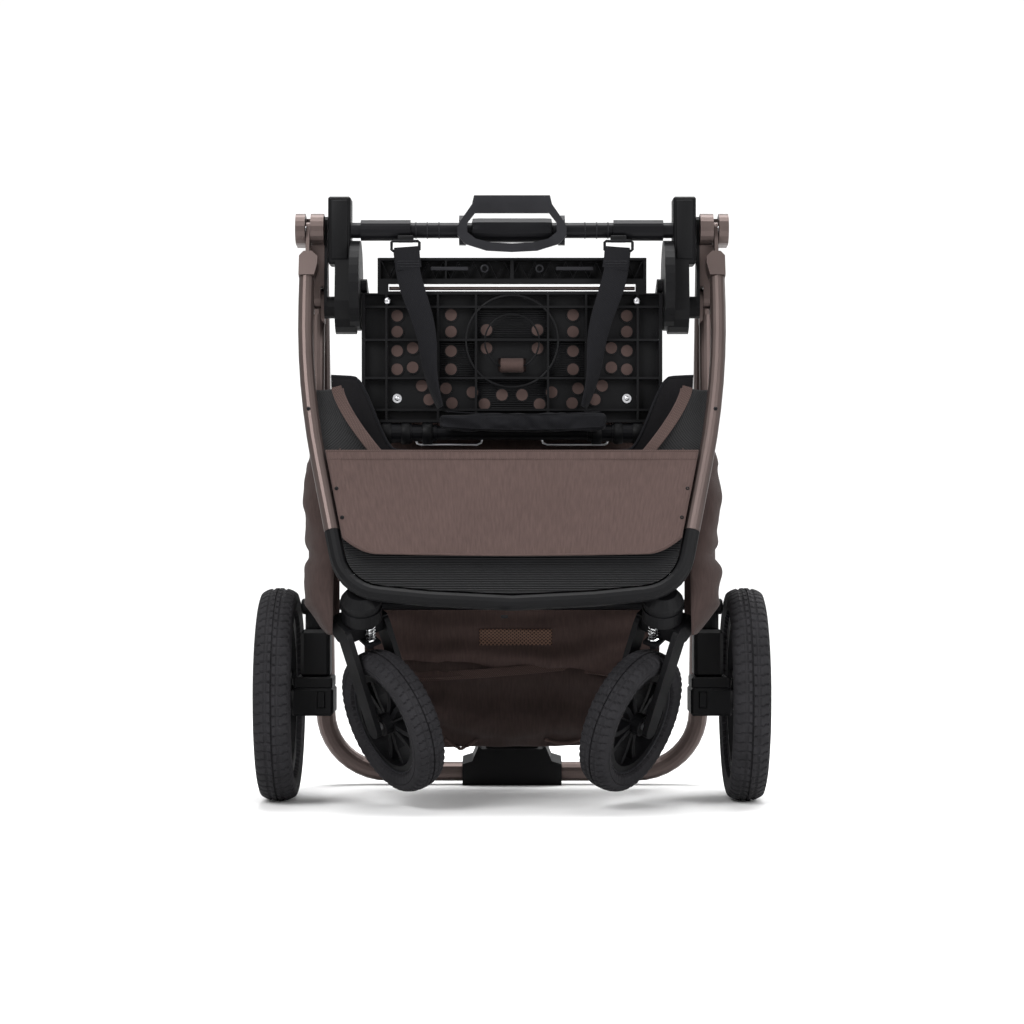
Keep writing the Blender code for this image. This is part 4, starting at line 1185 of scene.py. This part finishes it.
def tub():
    """Sides and floor of the basket in two halves, which meet on the hub's own part of it; their darker brown is
    painted shade.
    """
    def section(share, top):
        """Across the basket: down one side, along the floor and up the other, with its way in metres."""
        tall, wide = top - TUB_FLOOR, 2 * TUB_HALF
        way = share * (2 * tall + wide)
        if way < tall:
            return -TUB_HALF, top - way
        if way > tall + wide:
            return TUB_HALF, TUB_FLOOR + way - tall - wide
        return -TUB_HALF + way - tall, TUB_FLOOR

    def half(name, near, far, bodies, start, end):
        def point(u, v):
            x, z = section(u, TUB_TOP)
            y = near(z) + (far(z) - near(z)) * v
            out = 0.0022 * wander(x, y, z, 0.04, 4.0)
            droop = -0.004 * math.cos(math.pi * x / (2.2 * TUB_HALF)) if z < TUB_FLOOR + 0.001 else 0.0
            return at(x + (out if abs(x) > TUB_HALF - 0.001 else 0), y, z + droop)

        # painted shade: the basket's inside takes the darkened brown
        sheet = surface(name, point, 110, 16, "lining", None, 0.0016)
        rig.blend(sheet, *bodies, start, end)
        return sheet

    def seam(z):
        return front_plane_y(z, SEAM_BEHIND)

    def near(z):
        return front_plane_y(z, 0.0035)

    def back_y(z):
        return TUB_BACK - 0.0040

    normal = on_front(0, 0, 1) - on_front(0, 0, 0)
    front_start = on_front(0, 0.35, 0.012)
    front = half(
        "basket_front_half", near, seam, ("front_frame", "hub"), front_start,
        front_start + normal * (SEAM_BEHIND - 0.014),
    )
    rear = half(
        "basket_rear_half", seam, back_y, ("hub", "rear_frame"), at(0, seam(TUB_TOP) + 0.001, 0.35),
        at(0, TUB_BACK - 0.0045, 0.35),
    )
    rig.replaces(rear, "basket_rear")
    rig.sheet(front, flat=(0.700, 0.045), held="stretched", rests_on=["front_leg_left", "front_leg_right"])
    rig.sheet(rear, flat=(0.700, 0.058), held="stretched", rests_on=["cross_tube"])


def gussets():
    """Slack fabric that bags out of each side of the basket, in two halves that meet on the hub; their darker brown is
    painted shade.
    """
    top, low = 0.441, 0.205
    for side, sign in SIDES:
        def point(u, v):
            z = top + (low - top) * v
            front, back = front_plane_y(z, 0.020) + 0.004 * v, TUB_BACK - 0.001
            turn = math.pi * u
            bag = 0.0240 + 0.0140 * min(1.0, 6 * v)
            bag *= 1.0 - 0.85 * max(0.0, v - 0.86) / 0.14
            fold = 0.0024 * math.sin(2 * math.pi * (3.2 * v + 0.35 * u)) * math.sin(turn)
            fold += 0.0030 * wander(u * 0.1, 0, z, 0.022, 7.0 + sign)
            pinch = 0.010 * math.exp(-((v - 0.62) / 0.045) ** 2) * math.sin(turn)
            out = max(0.002, bag * math.sin(turn) ** 0.8 + fold - pinch) if 0 < u < 1 else 0.0
            x = min(0.2475, 0.2045 + out)
            y = front + (back - front) * (0.5 - 0.5 * math.cos(turn))
            y += 0.006 * wander(0, u * 0.1, z, 0.03, 9.0) * math.sin(2 * turn)
            return at(sign * x, y, z)

        middle_y = (front_plane_y(top, 0.020) + TUB_BACK) / 2
        # painted shade: both halves take the darkened brown
        front = surface(
            f"side_fold_front_{side}", lambda u, v: point(u / 2, v), 22, 90, "lining", None, 0.0014,
        )
        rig.blend(front, "front_frame", "hub", on_front(0, 0.35, 0.016), on_front(0, 0.35, 0.038))
        rear = surface(
            f"side_fold_rear_{side}", lambda u, v: point(0.5 + u / 2, v), 22, 90, "lining", None,
            0.0014,
        )
        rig.blend(rear, "hub", "rear_frame", at(0, middle_y + 0.002, 0.35), at(0, TUB_BACK - 0.0045, 0.35))
        for bag in (front, rear):
            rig.sheet(
                bag, flat=(0.075, 0.250), held="gathered", rests_on=[f"front_leg_{side}"],
                area=0.075 * 0.25 * 0.85,
            )


# ---------------------------------------------------------------- canopy
def liner_drape():
    """The slack end of the seat liner, which hangs in loose folds in front of the padding's free end."""
    top, low, half = 0.388, 0.470, 0.1690

    def point(u, v):
        x = (2 * u - 1) * half
        drop = top + (low + 0.006 * math.sin(2.3 * math.pi * u + 0.6) - top) * v
        sag = 0.0120 * (1 - (x / half) ** 2) * v
        fold = math.sin(
            2 * math.pi * (drop + 0.10 * x * x / half) / 0.034 + 1.8 * wander(x, 0, drop, 0.07, 23.0),
        )
        depth = 0.0165 - 0.0070 * v - 0.0038 * fold * (0.3 + v) - 0.0030 * wander(x, 0, drop, 0.026, 25.0)
        return on_back(x, drop + 0.5 * sag, min(0.0235, depth))

    drape = surface("liner_drape", point, 150, 48, "plain_brown", "backrest", 0.0012)
    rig.sheet(drape, flat=(0.345, 0.105), held="gathered", rests_on=["backrest_shell"])
    hem = [point(u, 0.02) - OUT * 0.0012 for u in np.linspace(0, 1, 60)]
    tube("liner_hem", hem, 0.0016, "brown_binding", "backrest", 8)
    low_hem = [point(u, 1.0) for u in np.linspace(0, 1, 80)]
    tube("liner_low_hem", low_hem, 0.0013, "brown_binding", "backrest", 8)
    return drape


def canopy():
    """The folded canopy: a bundle in deep sagging folds that hangs between the casters, in the darker brown that is
    painted shade.
    """
    # painted shade: the bundle takes the darkened brown
    bundle = padded_body("canopy_bundle", "canopy_fabric", "lining", 0.0048)
    low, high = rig.box("canopy_fabric")
    points = points_of(bundle)
    for k, (x, y, z) in enumerate(points):
        from_pivot = Vector((x, y, z)) - RECLINE
        depth, drop = from_pivot.dot(OUT), from_pivot.dot(DOWN)
        t = x / 0.176
        fall = drop + 0.030 * t * t - 0.016 * t
        pleat = math.sin(2 * math.pi * fall / 0.052 + 1.6 * wander(x, 0, z, 0.09, 11.0))
        pleat = (abs(pleat) ** 0.7) * (1 if pleat > 0 else -1)
        wrinkle = 0.0050 * wander(x, y, z, 0.030, 13.0) + 0.0022 * wander(x, y, z, 0.012, 17.0)
        ends = 1.0 - min(1.0, max(0.0, abs(t) - 0.90) / 0.10)
        move = (0.0080 * pleat + 1.1 * wrinkle) * ends
        shift = OUT * (-move if depth < 0.058 else move * 0.7)
        points[k] += np.array(shift)
    set_points(bundle, points)
    inflate(
        bundle, 2.0, 0.26, 0.011, lambda p: 1.0 if p[2] > high.z - 0.012 or abs(p[0]) > 0.172 else 0.0,
        16,
    )
    smoothed(bundle, 2)
    mapped(bundle, Vector((1, 0, 0)), -DOWN)
    tree = BVHTree.FromObject(bundle, bpy.context.evaluated_depsgraph_get())

    def front_of(x, z, lift):
        hit = tree.ray_cast(Vector((x, -1.0, z)), Vector((0, 1, 0)), 3.0)[0]
        return (hit if hit else Vector((x, low.y, z))) - Vector((0, lift, 0))

    def laid(name, line, width, finish):
        path = [front_of(x, z, 0.0016) for x, z in line]
        for _ in range(3):
            path = [path[0]] + [(a + b * 2 + c) / 4 for a, b, c in zip(path, path[1:], path[2:])] + [path[-1]]
        return tape(
            name, path, [Vector((0, -1, 0))] * len(path), [width] * len(path), 0.0018, finish, "canopy",
        )

    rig.ride(bundle, "canopy")
    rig.replaces(bundle, "canopy_fabric")
    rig.padded(bundle, fill=0.4)
    liner = liner_drape()
    drape_tree = BVHTree.FromObject(liner, bpy.context.evaluated_depsgraph_get())
    rising = [
        (x, 0.1420 + 0.055 * (x + 0.12) + 0.030 * (x + 0.12) ** 2 * 4)
        for x in np.linspace(-0.125, 0.112, 40)
    ]
    laid("canopy_band", rising, 0.0110, "brown_binding")
    hem_z = 0.0640
    for name, line in (
        ("left", lambda t: (-0.083 + 0.040 * t, hem_z - 0.010 * math.sin(math.pi * t))),
        ("right", lambda t: (0.040 + 0.056 * t, hem_z + 0.006 * t - 0.008 * math.sin(math.pi * t))),
    ):
        path = [front_of(*line(t), 0.0012) for t in np.linspace(0, 1, 14)]
        tube(f"canopy_cord_{name}", path, 0.0021, "brown_binding", "canopy", 8)

    def window(u, v):
        x, z = -0.040 + 0.089 * u, 0.2020 - 0.0200 * v
        hit = drape_tree.ray_cast(Vector((x, -1.0, z)), Vector((0, 1, 0)), 3.0)[0]
        return hit - Vector((0, 0.0012, 0))

    mesh = surface("liner_window", window, 30, 10, "brown_mesh", "backrest", 0.0008)
    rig.sheet(mesh, flat=(0.092, 0.022), held="stretched", rests_on=["liner_drape"])


# ---------------------------------------------------------------- studio
def studio():
    floor_mesh = bmesh.new()
    reach, back, rise = 6.0, 2.2, 5.0
    bend = [(0, -reach, 0), (0, back, 0)]
    bend += [
        (0, back + 1.2 * math.sin(t), 1.2 * (1 - math.cos(t)))
        for t in (math.radians(9 * k) for k in range(1, 11))
    ]
    bend += [(0, back + 1.2, rise)]
    rows = [[floor_mesh.verts.new((x, y, z)) for x in (-reach, reach)] for _, y, z in bend]
    for a, b in zip(rows, rows[1:]):
        floor_mesh.faces.new((a[0], a[1], b[1], b[0]))
    data = bpy.data.meshes.new("floor")
    floor_mesh.to_mesh(data)
    floor_mesh.free()
    data.shade_smooth()
    paper = Finish("floor_paper", (0.86, 0.86, 0.86), 0.85)
    data.materials.append(paper.material)
    floor = bpy.data.objects.new("floor", data)
    bpy.context.scene.collection.objects.link(floor)
    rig.stage(floor)

    world = bpy.data.worlds.new("studio")
    bpy.context.scene.world = world
    world.use_nodes = True
    world.node_tree.nodes["Background"].inputs["Color"].default_value = (1, 1, 1, 1)
    world.node_tree.nodes["Background"].inputs["Strength"].default_value = 0.50

    target = Vector((0, 0, 0.36))
    for name, place, size, power in (
        ("key", (-1.5, -2.3, 2.2), 1.6, 78),
        ("fill", (1.9, -2.1, 1.3), 1.5, 44),
        ("top", (0.0, 0.3, 2.8), 2.0, 95),
        ("rim", (1.4, 1.6, 1.6), 1.2, 26),
    ):
        light = bpy.data.lights.new(name, "AREA")
        light.shape, light.size, light.energy = "DISK", size, power
        lamp = bpy.data.objects.new(name, light)
        lamp.location = place
        lamp.rotation_euler = (target - Vector(place)).to_track_quat("-Z", "Y").to_euler()
        bpy.context.scene.collection.objects.link(lamp)

    lens = bpy.data.cameras.new("camera")
    lens.lens, lens.sensor_width = LENS, 36.0
    camera = bpy.data.objects.new("camera", lens)
    camera.location = at(0, -CAMERA_AWAY, CAMERA_HEIGHT)
    camera.rotation_euler = (math.radians(90), 0, 0)
    bpy.context.scene.collection.objects.link(camera)
    bpy.context.scene.camera = camera
    bpy.context.scene.view_settings.view_transform = "Standard"


paint_frame()
wheels()
seat_board()
carry_fittings()
straps()
pads()
front_panel()
wings()
rear_wall()
tub()
gussets()
canopy()
studio()

BOX_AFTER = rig.bounds()
with open("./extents.json", "w") as sizes:
    json.dump(
        {
            "before": [
                list(corner)
                for corner in BOX_BEFORE
            ], "after": [list(corner) for corner in BOX_AFTER]
        }, sizes
    )
